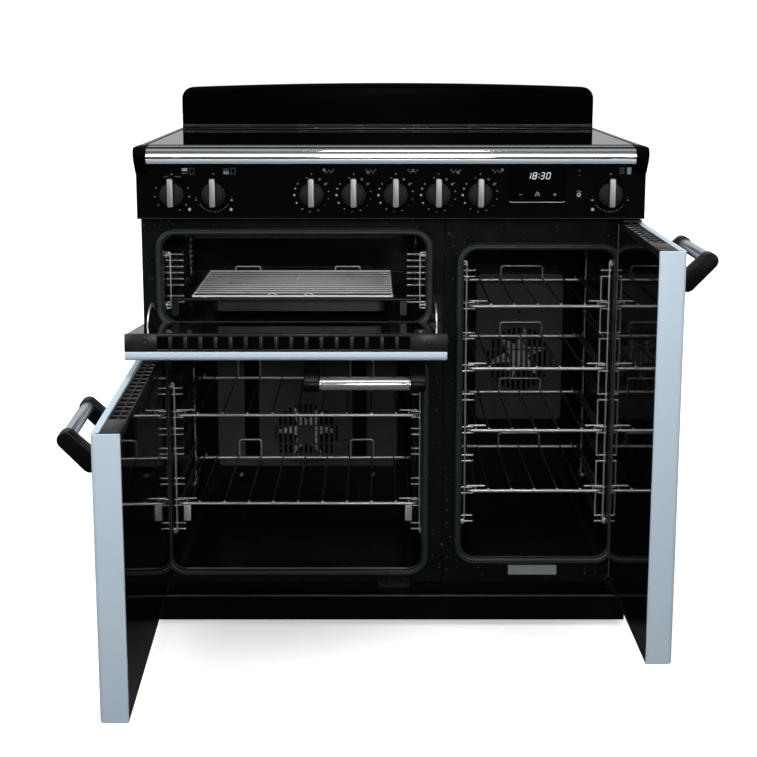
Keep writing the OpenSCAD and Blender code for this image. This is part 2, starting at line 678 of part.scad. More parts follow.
module grill_door_vent() color([0.05, 0.05, 0.05]) at_grill() difference() {
    bx(-443.5, 92, grill_pan_y, -9.4, 753.1, 765);
    for (i = [0:16]) bx(-389 + i * 25.05, -370.5 + i * 25.05, -35, -14.6, 750, 770);
    for (x = [-409, 62]) cy2(x);
}
module cy2(x) translate([x, -23, 763.6]) difference() {
    cylinder(r = 4.2, h = 3);
    cylinder(r = 3.4, h = 3);
}
module grill_door_handle() color([0.6, 0.61, 0.62]) at_grill() handle(-147, 57, 765);
// curved stays, concentric with the hinge line, running through the frame
module grill_door_stays() color([0.8, 0.8, 0.81]) at_grill()
    for (x = [-430, 81]) xe(x - 1, x + 1) translate([-31, 566]) intersection() {
        difference() { circle(r = 56); circle(r = 50); }
        polygon(concat([[0, 0]], [for (a = [12, 45, 80, 110, 126]) 90 * [sin(a), cos(a)]]));
    }

// ---- one line for each piece ----
side_panels();
rear_panel();
base_tray();
front_frames();
grill_liner();
main_oven_liner();
tall_oven_liner();
door_seals();
hob_glass();
hob_surround();
front_rail();
rail_end_caps();
control_fascia();
clock_module();
control_regulators();
rear_upstand();
plinth();
levelling_feet();
roller_brackets();
hinge_brackets();
shelf_ladders();
main_fan_cover();
tall_fan_cover();
fan_motors();
heating_elements();
cable_inlet();
frame_screws();
main_door_outer();
main_door_inner();
main_door_vents();
main_door_handle();
tall_door_outer();
tall_door_inner();
tall_door_vents();
tall_door_handle();
grill_door_outer();
grill_door_inner();
grill_door_vent();
grill_door_handle();
grill_door_stays();
knob(0);  // knob_1
knob(1);  // knob_2
knob(2);  // knob_3
knob(3);  // knob_4
knob(4);  // knob_5
knob(5);  // knob_6
knob(6);  // knob_7
knob(7);  // knob_8
main_shelf_upper();
main_shelf_lower();
tall_shelf_1();
tall_shelf_2();
tall_shelf_3();
tall_shelf_4();
grill_pan();
grill_trivet();
fan_rotor_main();
fan_rotor_tall();
rear_roller_left();
rear_roller_right();
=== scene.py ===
import math
import bpy
import bmesh
from mathutils import Vector, Matrix


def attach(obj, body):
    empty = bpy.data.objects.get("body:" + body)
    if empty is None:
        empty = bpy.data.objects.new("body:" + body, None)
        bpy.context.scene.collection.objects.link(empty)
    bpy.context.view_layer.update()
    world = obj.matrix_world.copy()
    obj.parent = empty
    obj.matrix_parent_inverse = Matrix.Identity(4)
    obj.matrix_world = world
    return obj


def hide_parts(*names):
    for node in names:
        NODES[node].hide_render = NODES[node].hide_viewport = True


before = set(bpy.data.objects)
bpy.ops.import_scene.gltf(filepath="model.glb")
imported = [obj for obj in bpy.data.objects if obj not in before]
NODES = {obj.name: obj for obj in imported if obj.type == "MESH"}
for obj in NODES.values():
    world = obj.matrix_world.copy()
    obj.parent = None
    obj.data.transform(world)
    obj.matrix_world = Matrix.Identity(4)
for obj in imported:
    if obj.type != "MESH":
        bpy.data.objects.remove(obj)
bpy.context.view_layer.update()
MM = 0.001

# ------------------------------------------------------------------ camera
cam_data = bpy.data.cameras.new("camera")
cam = bpy.data.objects.new("camera", cam_data)
bpy.context.scene.collection.objects.link(cam)
cam_data.sensor_width = 36.0
cam_data.lens = 62.78
cam_data.shift_x = 0.0058
cam_data.shift_y = -0.15
cam_data.clip_end = 60
cam.location = (-0.02948, -2.3639, 1.074)
cam.rotation_euler = (math.radians(90 - 9.293), 0, 0)
bpy.context.scene.camera = cam
bpy.context.scene.view_settings.view_transform = "Standard"
bpy.context.scene.view_settings.look = "None"

# --------------------------------------------------------------- materials
def new_mat(name):
    m = bpy.data.materials.new(name)
    m.use_nodes = True
    nt = m.node_tree
    nt.nodes.clear()
    out = nt.nodes.new("ShaderNodeOutputMaterial")
    bsdf = nt.nodes.new("ShaderNodeBsdfPrincipled")
    nt.links.new(bsdf.outputs[0], out.inputs[0])
    co = nt.nodes.new("ShaderNodeTexCoord")
    return m, nt, bsdf, co.outputs["Object"]


def noise(nt, co, scale, detail=3.0, stretch=None):
    n = nt.nodes.new("ShaderNodeTexNoise")
    n.inputs["Scale"].default_value = scale
    n.inputs["Detail"].default_value = detail
    if stretch:
        mp = nt.nodes.new("ShaderNodeMapping")
        mp.inputs["Scale"].default_value = stretch
        nt.links.new(co, mp.inputs["Vector"])
        nt.links.new(mp.outputs[0], n.inputs["Vector"])
    else:
        nt.links.new(co, n.inputs["Vector"])
    return n.outputs["Fac"]


def ramp(nt, fac, stops):
    r = nt.nodes.new("ShaderNodeValToRGB")
    e = r.color_ramp.elements
    while len(e) < len(stops):
        e.new(0.5)
    for el, (p, c) in zip(e, stops):
        el.position = p
        el.color = (*c, 1) if len(c) == 3 else c
    nt.links.new(fac, r.inputs[0])
    return r.outputs[0]


def mapr(nt, fac, a, b):
    r = nt.nodes.new("ShaderNodeMapRange")
    r.inputs["From Min"].default_value = 0.3
    r.inputs["From Max"].default_value = 0.7
    r.inputs["To Min"].default_value = a
    r.inputs["To Max"].default_value = b
    nt.links.new(fac, r.inputs["Value"])
    return r.outputs[0]


def material(name, col, rough, metal=0.0, spec=0.5, vary=0.12, vscale=14.0, rvar=0.05, rscale=30.0,
             bump=0.0, bscale=300.0, stretch=None, coat=0.0, coat_rough=0.05, specks=None, painted_shade_along_y=None):
    m, nt, b, co = new_mat(name)
    lo_c = tuple(max(0.0, c * (1 - vary)) for c in col)
    hi_c = tuple(min(1.0, c * (1 + vary)) for c in col)
    base = ramp(nt, noise(nt, co, vscale, 4.0), [(0.3, lo_c), (0.7, hi_c)])
    for sp in specks or []:
        v = nt.nodes.new("ShaderNodeTexVoronoi")
        v.inputs["Scale"].default_value = sp["scale"]
        nt.links.new(co, v.inputs["Vector"])
        spot = nt.nodes.new("ShaderNodeMath")
        spot.operation = "LESS_THAN"
        spot.inputs[1].default_value = sp["size"]
        nt.links.new(v.outputs["Distance"], spot.inputs[0])
        sep = nt.nodes.new("ShaderNodeSeparateColor")
        nt.links.new(v.outputs["Color"], sep.inputs[0])
        few = nt.nodes.new("ShaderNodeMath")
        few.operation = "LESS_THAN"
        few.inputs[1].default_value = sp["share"]
        nt.links.new(sep.outputs[0], few.inputs[0])
        both = nt.nodes.new("ShaderNodeMath")
        both.operation = "MULTIPLY"
        nt.links.new(spot.outputs[0], both.inputs[0])
        nt.links.new(few.outputs[0], both.inputs[1])
        mix = nt.nodes.new("ShaderNodeMix")
        mix.data_type = "RGBA"
        mix.inputs["B"].default_value = (0, 0, 0, 1)
        for s in mix.inputs:
            if s.name == "B" and s.type == "RGBA":
                s.default_value = (*sp["col"], 1)
        a_in = [s for s in mix.inputs if s.name == "A" and s.type == "RGBA"][0]
        nt.links.new(base, a_in)
        nt.links.new(both.outputs[0], mix.inputs["Factor"])
        base = [s for s in mix.outputs if s.type == "RGBA"][0]
    if painted_shade_along_y is not None:
        # wires that run front to back get painted shade: darker than the cross bars, by the Y part of the normal
        tcn = nt.nodes.new("ShaderNodeTexCoord")
        sp = nt.nodes.new("ShaderNodeSeparateXYZ")
        nt.links.new(tcn.outputs["Normal"], sp.inputs[0])
        ab = nt.nodes.new("ShaderNodeMath")
        ab.operation = "ABSOLUTE"
        nt.links.new(sp.outputs["Y"], ab.inputs[0])
        mr = nt.nodes.new("ShaderNodeMapRange")
        mr.inputs["From Min"].default_value = 0.05
        mr.inputs["From Max"].default_value = 0.3
        mr.inputs["To Min"].default_value = painted_shade_along_y
        mr.inputs["To Max"].default_value = 1.0
        nt.links.new(ab.outputs[0], mr.inputs["Value"])
        mixn = nt.nodes.new("ShaderNodeMix")
        mixn.data_type = "RGBA"
        cols = [q for q in mixn.inputs if q.type == "RGBA"]
        cols[0].default_value = (0, 0, 0, 1)
        nt.links.new(base, cols[1])
        nt.links.new(mr.outputs[0], mixn.inputs["Factor"])
        base = [q for q in mixn.outputs if q.type == "RGBA"][0]
    nt.links.new(base, b.inputs["Base Color"])
    nt.links.new(mapr(nt, noise(nt, co, rscale, 4.0, stretch), max(0.0, rough - rvar), min(1.0, rough + rvar)),
                 b.inputs["Roughness"])
    b.inputs["Metallic"].default_value = metal
    b.inputs["Specular IOR Level"].default_value = spec
    b.inputs["Coat Weight"].default_value = coat
    b.inputs["Coat Roughness"].default_value = coat_rough
    if bump:
        bp = nt.nodes.new("ShaderNodeBump")
        bp.inputs["Strength"].default_value = bump
        bp.inputs["Distance"].default_value = 0.0005
        nt.links.new(noise(nt, co, bscale, 3.0, stretch), bp.inputs["Height"])
        nt.links.new(bp.outputs[0], b.inputs["Normal"])
    return m


def glow(name, col, strength):
    m, nt, b, co = new_mat(name)
    c = ramp(nt, noise(nt, co, 90.0, 2.0), [(0.3, tuple(x * 0.9 for x in col)), (0.7, col)])
    nt.links.new(c, b.inputs["Base Color"])
    nt.links.new(c, b.inputs["Emission Color"])
    b.inputs["Emission Strength"].default_value = strength
    b.inputs["Roughness"].default_value = 0.4
    return m


SPECK = [dict(scale=150.0, size=0.17, share=0.2, col=(0.06, 0.072, 0.07)),
         dict(scale=430.0, size=0.2, share=0.3, col=(0.016, 0.021, 0.02))]
LSPECK = [dict(scale=260.0, size=0.14, share=0.2, col=(0.012, 0.013, 0.013))]
MAT = {
    "enamel": material("frame_enamel", (0.0036, 0.0046, 0.0043), 0.24, spec=0.2, vary=0.3, specks=SPECK,
                       bump=0.05, bscale=160.0, rvar=0.05),
    "liner": material("liner_enamel", (0.0016, 0.0016, 0.0016), 0.3, spec=0.1, vary=0.3, specks=LSPECK, rvar=0.03),
    "lip": material("liner_lip_painted_highlight", (0.05, 0.052, 0.052), 0.3, spec=0.6, vary=0.15),
    "paint": material("door_paint", (0.49, 0.59, 0.68), 0.34, spec=0.35, vary=0.02, vscale=5.0, rvar=0.03,
                      bump=0.035, bscale=900.0),
    "inner": material("door_inner_gloss", (0.001, 0.0011, 0.0011), 0.05, spec=0.4, vary=0.2, rvar=0.02, specks=LSPECK),
    "vents": material("vent_black", (0.008, 0.0083, 0.008), 0.34, spec=0.25, vary=0.2, bump=0.12, bscale=420.0),
    "ventrib": material("painted_light_vent_rib", (0.018, 0.0185, 0.018), 0.3, spec=0.5, vary=0.2, bump=0.08, bscale=420.0),
    "recess": material("vent_painted_shade", (0.0006, 0.0006, 0.0006), 0.7, spec=0.05, vary=0.2),
    "cap": material("cap_black", (0.0008, 0.0008, 0.0008), 0.6, spec=0.012, vary=0.15, bump=0.04, bscale=500.0),
    "ends": material("handle_end_black", (0.0016, 0.0017, 0.0018), 0.32, spec=0.16, vary=0.15, bump=0.06, bscale=500.0),
    "panel": material("panel_black", (0.0007, 0.0007, 0.0007), 0.5, spec=0.025, vary=0.15, bump=0.02, bscale=400.0),
    "upstand": material("upstand_black", (0.0005, 0.0005, 0.0005), 0.25, spec=0.006, vary=0.2, rvar=0.03),
    "upfoot": material("upstand_foot_grey", (0.008, 0.0085, 0.0085), 0.4, spec=0.15, vary=0.2),
    "plinth": material("plinth_black", (0.0012, 0.0012, 0.0012), 0.4, spec=0.1, vary=0.2, bump=0.05, bscale=300.0),
    "side": material("side_black", (0.004, 0.004, 0.0042), 0.34, spec=0.3, vary=0.2, bump=0.08, bscale=350.0),
    "zinc": material("galvanised", (0.42, 0.43, 0.44), 0.42, metal=0.9, vary=0.2, vscale=60.0, rvar=0.12, rscale=80.0),
    "glass": material("hob_glass", (0.0012, 0.0012, 0.0014), 0.025, spec=0.5, vary=0.1, rvar=0.012, rscale=6.0),
    "gasket": material("hob_gasket", (0.002, 0.002, 0.002), 0.5, spec=0.1, vary=0.2),
    "trim": material("hob_trim_steel", (0.2, 0.203, 0.207), 0.25, metal=1.0, vary=0.05, rvar=0.04, rscale=40.0),
    "zone": material("zone_print", (0.005, 0.0052, 0.0055), 0.03, spec=0.5, vary=0.15, rvar=0.01, vscale=90.0),
    "outlet": material("steam_outlet", (0.03, 0.031, 0.031), 0.4, spec=0.2, vary=0.15, vscale=90.0),
    "chrome": material("chrome", (0.62, 0.63, 0.65), 0.055, metal=1.0, vary=0.02, rvar=0.01, rscale=20.0),
    "rail_reflection_band": material("rail_painted_reflection_band", (0.11, 0.112, 0.115), 0.42, metal=0.8, vary=0.03, rvar=0.03, rscale=20.0),
    "railtrim": material("rail_back_trim", (0.16, 0.163, 0.167), 0.5, metal=0.2, spec=0.3, vary=0.05, rvar=0.03, rscale=40.0),
    "rail_underside_reflection": material("rail_underside_painted_reflection", (0.55, 0.6, 0.64), 0.35, metal=0.25, spec=0.4, vary=0.01, rvar=0.02, rscale=20.0),
    "steel": material("plated_steel", (0.5, 0.51, 0.52), 0.34, metal=0.8, vary=0.05, rvar=0.04, rscale=40.0),
    "bracket": material("bracket_dark", (0.035, 0.036, 0.037), 0.34, metal=0.8, vary=0.12, rvar=0.08, rscale=120.0),
    # rack wire, with painted shade on the wires that run front to back
    "wire": material("rack_wire", (0.6, 0.61, 0.62), 0.34, metal=0.75, vary=0.03, vscale=20.0, rvar=0.03, rscale=20.0, painted_shade_along_y=0.08),
    "trivet": material("trivet_wire", (0.95, 0.955, 0.96), 0.3, metal=0.15, spec=0.8, vary=0.03, vscale=20.0, rvar=0.03, rscale=20.0),
    "brushed": material("brushed_bar", (0.62, 0.65, 0.68), 0.21, metal=0.85, spec=0.5, vary=0.03, vscale=20.0, rvar=0.02, rscale=40.0),
    "grip": material("knob_grip_metal", (0.33, 0.335, 0.34), 0.42, metal=0.5, vary=0.04, rvar=0.04, rscale=60.0),
    "skirt": material("knob_skirt", (0.0088, 0.0102, 0.0102), 0.5, spec=0.2, vary=0.1, bump=0.03, bscale=900.0),
    "seal": material("seal_silicone", (0.013, 0.021, 0.019), 0.38, spec=0.35, vary=0.25, vscale=120.0, bump=0.3, bscale=1400.0),
    "pan": material("pan_enamel", (0.009, 0.0095, 0.01), 0.36, spec=0.3, vary=0.2, vscale=40.0, specks=LSPECK),
    "fansheet": material("fan_cover_sheet", (0.042, 0.042, 0.043), 0.36, spec=0.4, vary=0.15, vscale=22.0, bump=0.04, bscale=240.0),
    "backwall": material("oven_back_enamel", (0.016, 0.016, 0.0165), 0.3, spec=0.4, vary=0.25, vscale=16.0, specks=LSPECK),
    "fanmetal": material("fan_metal", (0.78, 0.78, 0.79), 0.45, metal=0.3, vary=0.06, rvar=0.05, rscale=30.0),
    "element": material("element_sheath", (0.09, 0.08, 0.075), 0.45, metal=0.6, vary=0.25, vscale=70.0, bump=0.1, bscale=800.0),
    "rubber": material("foot_rubber", (0.012, 0.012, 0.012), 0.6, vary=0.2, bump=0.2, bscale=700.0),
    "print": material("panel_print", (0.33, 0.335, 0.34), 0.5, vary=0.08, vscale=900.0),
    "print_dim": material("panel_print_dim", (0.09, 0.093, 0.096), 0.5, vary=0.1, vscale=900.0),
    "print_blue": material("panel_print_blue", (0.14, 0.2, 0.24), 0.5, vary=0.08, vscale=900.0),
    "plate": material("blank_plate", (0.36, 0.38, 0.39), 0.45, metal=0.3, vary=0.06, vscale=120.0, bump=0.05, bscale=900.0),
    "tab": material("shelf_tab", (0.62, 0.62, 0.6), 0.42, metal=0.5, vary=0.06, vscale=200.0),
    "wire_end_highlight": material("wire_end", (0.85, 0.855, 0.86), 0.3, metal=0.3, spec=0.6, vary=0.03, vscale=60.0),
    "lip_highlight_line": material("liner_edge_painted_highlight", (0.17, 0.175, 0.175), 0.35, spec=0.5, vary=0.1),
    "edge": material("painted_highlight_grey", (0.055, 0.057, 0.057), 0.4, spec=0.4, vary=0.15),
    "tabdark": material("pan_tab", (0.06, 0.062, 0.063), 0.35, metal=0.6, vary=0.1, vscale=200.0),
    "display": material("display_black", (0.001, 0.001, 0.0012), 0.1, spec=0.3, vary=0.1, rvar=0.02),
    "digits": glow("display_digits", (0.62, 0.7, 0.74), 0.75),
}

NODE_MAT = {
    "side_panels": "side", "rear_panel": "zinc", "base_tray": "plinth", "front_frames": "enamel",
    "grill_liner": "liner", "main_oven_liner": "liner", "tall_oven_liner": "liner", "door_seals": "seal",
    "hob_glass": "glass", "hob_surround": "trim", "front_rail": "chrome", "rail_end_caps": "cap",
    "control_fascia": "panel", "clock_module": "display", "control_regulators": "cap", "rear_upstand": "upstand",
    "plinth": "plinth", "levelling_feet": "rubber", "roller_brackets": "zinc", "hinge_brackets": "bracket",
    "shelf_ladders": "wire", "main_fan_cover": "fansheet", "tall_fan_cover": "fansheet", "fan_motors": "zinc",
    "heating_elements": "element", "cable_inlet": "cap", "frame_screws": "bracket", "grill_door_stays": "steel",
    "grill_pan": "pan", "grill_trivet": "trivet", "fan_rotor_main": "fanmetal", "fan_rotor_tall": "fanmetal",
    "rear_roller_left": "rubber", "rear_roller_right": "rubber",
}
for d in ("main", "tall", "grill"):
    NODE_MAT[d + "_door_outer"] = "paint"
    NODE_MAT[d + "_door_inner"] = "inner"
    NODE_MAT[d + "_door_handle"] = "brushed"
    NODE_MAT[d + ("_door_vent" if d == "grill" else "_door_vents")] = "vents"
for k in range(1, 9):
    NODE_MAT["knob_%d" % k] = "skirt"
for s in ("main_shelf_upper", "main_shelf_lower", "tall_shelf_1", "tall_shelf_2", "tall_shelf_3", "tall_shelf_4"):
    NODE_MAT[s] = "wire"
for n, o in NODES.items():
    if not o.material_slots:
        o.data.materials.append(MAT[NODE_MAT[n]])
    for slot in o.material_slots:
        slot.material = MAT[NODE_MAT[n]]
    o.data.shade_smooth()
    o.data.set_sharp_from_angle(angle=math.radians(28))


# --------------------------------------------------------- geometry helpers
def at(piv, axis, deg):
    return Matrix.Translation(piv) @ Matrix.Rotation(math.radians(deg), 4, axis) @ Matrix.Translation(-Vector(piv))


X_MAIN = at(Vector((-429, -31, 0)), "Z", -88)
X_TALL = at(Vector((429, -31, 0)), "Z", 90)
X_GRILL = at(Vector((0, -31, 566)), "X", 84)
IDENT = Matrix.Identity(4)


class Piece:
    """A mesh gathered in millimetres."""

    def __init__(self):
        self.bm = bmesh.new()

    def box(self, x0, x1, y0, y1, z0, z1, bevel=0.0, seg=2):
        r = bmesh.ops.create_cube(self.bm, size=1.0)
        vs = r["verts"]
        for v in vs:
            v.co = Vector(((x0 + x1) / 2 + v.co.x * (x1 - x0), (y0 + y1) / 2 + v.co.y * (y1 - y0),
                           (z0 + z1) / 2 + v.co.z * (z1 - z0)))
        if bevel:
            es = list({e for v in vs for e in v.link_edges})
            bmesh.ops.bevel(self.bm, geom=es, offset=bevel, segments=seg, profile=0.5, affect="EDGES")
        return self

    def prism(self, pts, axis, a, b, bevel=0.0, seg=2, limit=20):
        """pts are 2D: (y, z) for axis x, (x, z) for axis y, (x, y) for axis z."""
        def put(p, t):
            return {"x": (t, p[0], p[1]), "y": (p[0], t, p[1]), "z": (p[0], p[1], t)}[axis]
        lo_v = [self.bm.verts.new(put(p, a)) for p in pts]
        hi_v = [self.bm.verts.new(put(p, b)) for p in pts]
        n = len(pts)
        fs = [self.bm.faces.new(lo_v), self.bm.faces.new(hi_v)]
        for i in range(n):
            fs.append(self.bm.faces.new((lo_v[i], lo_v[(i + 1) % n], hi_v[(i + 1) % n], hi_v[i])))
        bmesh.ops.recalc_face_normals(self.bm, faces=fs)
        if bevel:
            es = set()
            for f in fs[:2]:
                es.update(f.edges)
            for i in range(n):
                a0 = Vector(pts[i]) - Vector(pts[i - 1])
                a1 = Vector(pts[(i + 1) % n]) - Vector(pts[i])
                if a0.length > 1e-6 and a1.length > 1e-6 and a0.angle(a1) > math.radians(limit):
                    e = self.bm.edges.get((lo_v[i], hi_v[i]))
                    if e:
                        es.add(e)
            bmesh.ops.bevel(self.bm, geom=list(es), offset=bevel, segments=seg, profile=0.5, affect="EDGES")
        return self

    def lathe(self, prof, origin, axis, seg=48):
        """prof: (radius, distance along axis). A closed solid when it starts and ends at radius 0."""
        o = Vector(origin)
        d = Vector(axis).normalized()
        u = d.orthogonal().normalized()
        w = d.cross(u)
        rings = []
        for r, t in prof:
            if r < 1e-6:
                rings.append([self.bm.verts.new(o + d * t)])
            else:
                rings.append([self.bm.verts.new(o + d * t + (u * math.cos(2 * math.pi * k / seg) + w * math.sin(2 * math.pi * k / seg)) * r)
                              for k in range(seg)])
        fs = []
        for a, b in zip(rings, rings[1:]):
            for k in range(seg):
                k2 = (k + 1) % seg
                if len(a) == 1 and len(b) == 1:
                    continue
                if len(a) == 1:
                    fs.append(self.bm.faces.new((a[0], b[k], b[k2])))
                elif len(b) == 1:
                    fs.append(self.bm.faces.new((a[k], a[k2], b[0])))
                else:
                    fs.append(self.bm.faces.new((a[k], a[k2], b[k2], b[k])))
        bmesh.ops.recalc_face_normals(self.bm, faces=fs)
        return self

    def tube(self, pts, r, sides=10, closed=False):
        pts = [Vector(p) for p in pts]
        n = len(pts)
        rings = []
        up = None
        for i, p in enumerate(pts):
            if closed:
                t = (pts[(i + 1) % n] - pts[i - 1]).normalized()
            elif i == 0:
                t = (pts[1] - pts[0]).normalized()
            elif i == n - 1:
                t = (pts[-1] - pts[-2]).normalized()
            else:
                t = ((pts[i + 1] - p).normalized() + (p - pts[i - 1]).normalized()).normalized()
            if up is None:
                up = t.orthogonal().normalized()
            up = (up - t * up.dot(t)).normalized()
            w = t.cross(up)
            k = 1.0
            if 0 < i < n - 1 or closed:
                a = (pts[(i + 1) % n] - p).normalized()
                k = 1.0 / max(0.5, abs(a.dot(t)))
            rings.append([self.bm.verts.new(p + (up * math.cos(2 * math.pi * j / sides) + w * math.sin(2 * math.pi * j / sides)) * r)
                          for j in range(sides)])
        fs = []
        pairs = list(zip(rings, rings[1:])) + ([(rings[-1], rings[0])] if closed else [])
        for a, b in pairs:
            for j in range(sides):
                j2 = (j + 1) % sides
                fs.append(self.bm.faces.new((a[j], a[j2], b[j2], b[j])))
        if not closed:
            fs.append(self.bm.faces.new(rings[0][::-1]))
            fs.append(self.bm.faces.new(rings[-1]))
        bmesh.ops.recalc_face_normals(self.bm, faces=fs)
        return self

    def sweep_ring(self, path, normals, section):
        """section points (n, y): n along the outward normal in the XZ plane, y along Y. path points (x, z)."""
        rings = []
        for (x, z), (nx, nz) in zip(path, normals):
            rings.append([self.bm.verts.new((x + nx * s, y, z + nz * s)) for s, y in section])
        fs = []
        m = len(section)
        for i in range(len(rings)):
            a, b = rings[i], rings[(i + 1) % len(rings)]
            for j in range(m):
                j2 = (j + 1) % m
                fs.append(self.bm.faces.new((a[j], a[j2], b[j2], b[j])))
        bmesh.ops.recalc_face_normals(self.bm, faces=fs)
        return self

    def move(self, m):
        bmesh.ops.transform(self.bm, matrix=m, verts=self.bm.verts)
        return self

    def done(self, name, mat, body="root", xf=IDENT, slot=None, sharp=32):
        bmesh.ops.transform(self.bm, matrix=Matrix.Scale(MM, 4) @ xf, verts=self.bm.verts)
        me = bpy.data.meshes.new(name)
        self.bm.to_mesh(me)
        self.bm.free()
        me.shade_smooth()
        me.set_sharp_from_angle(angle=math.radians(sharp))
        o = bpy.data.objects.new(name, me)
        bpy.context.scene.collection.objects.link(o)
        me.materials.append(MAT[mat])
        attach(o, body)
        return o


def arc(cx, cy, r, a0, a1, n):
    return [(cx + r * math.cos(math.radians(a0 + (a1 - a0) * i / n)), cy + r * math.sin(math.radians(a0 + (a1 - a0) * i / n)))
            for i in range(n + 1)]


def rrect_path(x0, z0, x1, z1, r, n=10):
    path, nor = [], []
    for cx, cz, a in ((x1 - r, z1 - r, 0), (x0 + r, z1 - r, 90), (x0 + r, z0 + r, 180), (x1 - r, z0 + r, 270)):
        for i in range(n + 1):
            t = math.radians(a + 90 * i / n)
            path.append((cx + r * math.cos(t), cz + r * math.sin(t)))
            nor.append((math.cos(t), math.sin(t)))
    return path, nor


# ------------------------------------------------------------- front rail
p = Piece()
prof = [(-2.3, 902.3), (-52.0, 902.3), (-55.5, 901.7), (-58.5, 900.8), (-61.0, 899.6), (-62.5, 898.5), (-62.6, 897.9), (-62.6, 893.6),
        (-63.2, 893.1), (-66.7, 889.0), (-66.8, 888.2), (-66.3, 887.2), (-64.4, 886.2), (-64.2, 885.6), (-64.2, 876.0), (-50.4, 874.75),
        (-2.3, 874.75)]
p.prism(prof, "x", -427.8, 427.8, 0.15, 1, limit=60)
rail = p.done("front_rail_bar", "chrome", slot="chrome_rail", sharp=24)
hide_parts("front_rail")
# darker band on the rail's front curve: painted reflection of the dark room in front, on the chrome
p = Piece()
p.prism([(-62.3, 898.1), (-63.0, 897.9), (-63.2, 896.0), (-63.2, 893.9), (-62.3, 893.9)], "x", -427.6, 427.6, 0.15, 1, limit=60)
p.done("front_rail_painted_reflection_band", "rail_reflection_band", slot="chrome_rail", sharp=30)
# dark gasket on the back of the rail with a satin trim on it
p = Piece()
p.prism([(-2.3, 902.4), (-2.3, 904.6), (-50.2, 904.6), (-50.8, 904.2), (-50.8, 902.4)], "x", -427.8, 427.8, 0.1, 1, limit=60)
p.done("front_rail_gasket", "gasket", slot="chrome_rail", sharp=30)
p = Piece()
p.prism([(-22.0, 904.65), (-22.0, 904.9), (-49.6, 904.9), (-49.9, 904.65)], "x", -427.6, 427.6, 0.08, 1, limit=60)
p.done("front_rail_back_trim", "railtrim", slot="chrome_rail", sharp=30)

# lower face of the rail in a pale blue-grey, mostly diffuse finish: a painted reflection band on the chrome
p = Piece()
p.prism([(-64.1, 884.4), (-66.2, 884.0), (-66.8, 883.0), (-66.5, 880.6), (-65.6, 878.0), (-64.4, 876.5), (-63.9, 876.5)], "x",
        -427.6, 427.6, 0.3, 1, limit=60)
p.done("front_rail_underside_painted_reflection", "rail_underside_reflection", slot="chrome_rail", sharp=24)
p = Piece()
for s in (-1, 1):
    pts = [(-2.4, 904.8)] + [(-52 - 15.8 * math.cos(math.radians(t)), 889 + 15.8 * math.sin(math.radians(t))) for t in range(90, -16, -15)]
    pts += [(-66.2, 880), (-60, 868), (-55, 858.2), (-50.3, 858.2), (-50.3, 874.8), (-2.4, 874.8)]
    q = Piece()
    q.prism(pts, "x", 428.2, 450.8, 1.6, 3, limit=40)
    for v in q.bm.verts:
        k = min(1.0, max(0.0, (905 - v.co.z) / 47.0))
        v.co.x = 428.2 + (v.co.x - 428.2) * (22.6 - 2.7 * k) / 22.6
        if s < 0:
            v.co.x = -v.co.x
    if s < 0:
        bmesh.ops.reverse_faces(q.bm, faces=list(q.bm.faces))
    tmp = bpy.data.meshes.new("tmp")
    q.bm.to_mesh(tmp)
    q.bm.free()
    p.bm.from_mesh(tmp)
    bpy.data.meshes.remove(tmp)
o = p.done("rail_end_cap_pair", "cap", slot="cap_black", sharp=40)
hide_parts("rail_end_caps")

# ---------------------------------------------------------------- upstand
def upstand_outline(g, z0=905.1):
    r = 25 - g
    xs = 445 - g
    top = lambda x: 1001 - 11029 + math.sqrt(11029 ** 2 - x * x) - g
    zc = top(420) - (25 - g)
    out = [(-xs, z0), (-xs, (z0 + zc) / 2)]
    out += [(-420 + r * math.cos(math.radians(a)), zc + r * math.sin(math.radians(a))) for a in range(180, 89, -9)]
    out += [(x, top(x)) for x in range(-400, 401, 40)]
    out += [(420 + r * math.cos(math.radians(a)), zc + r * math.sin(math.radians(a))) for a in range(90, -1, -9)]
    out += [(xs, (z0 + zc) / 2), (xs, z0)]
    return out


p = Piece()
rings = []
for a in range(0, 91, 15):
    g = 11 * (1 - math.sin(math.radians(a)))
    rings.append((504.3 + 11 * (1 - math.cos(math.radians(a))), upstand_outline(g)))
for a in range(75, -1, -15):
    g = 3 * (1 - math.sin(math.radians(a)))
    rings.append((549.8 - 3 * (1 - math.cos(math.radians(a))), upstand_outline(g)))
vr = [[p.bm.verts.new((x, y, z)) for x, z in out] for y, out in rings]
for a, b in zip(vr, vr[1:]):
    for i in range(len(a)):
        j = (i + 1) % len(a)
        p.bm.faces.new((a[i], a[j], b[j], b[i]))
p.bm.faces.new(vr[0])
p.bm.faces.new(vr[-1][::-1])
bmesh.ops.recalc_face_normals(p.bm, faces=list(p.bm.faces))
o = p.done("rear_upstand_cover", "upstand", slot="panel_black", sharp=50)
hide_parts("rear_upstand")

# small steam outlets along the foot of the upstand
p = Piece()
for i in range(-4, 4):
    for s in (-1, 1):
        c0 = i * 122 + 61 + s * 0.7
        p.prism([(c0, 909.6), (c0 + s * 7.0, 907.9), (c0 + s * 8.0, 908.6), (c0 + s * 4.4, 910.4), (c0 + s * 8.0, 912.2), (c0 + s * 7.0, 912.9), (c0, 911.2)],
                "y", 502.4, 504.7, 0.25, 1)
p.done("steam_outlets", "outlet", slot="panel_black")
p = Piece()
p.box(-441, 441, 502.9, 504.6, 907.4, 913.6, 0.5)
p.done("upstand_foot_strip", "upfoot", slot="panel_black")

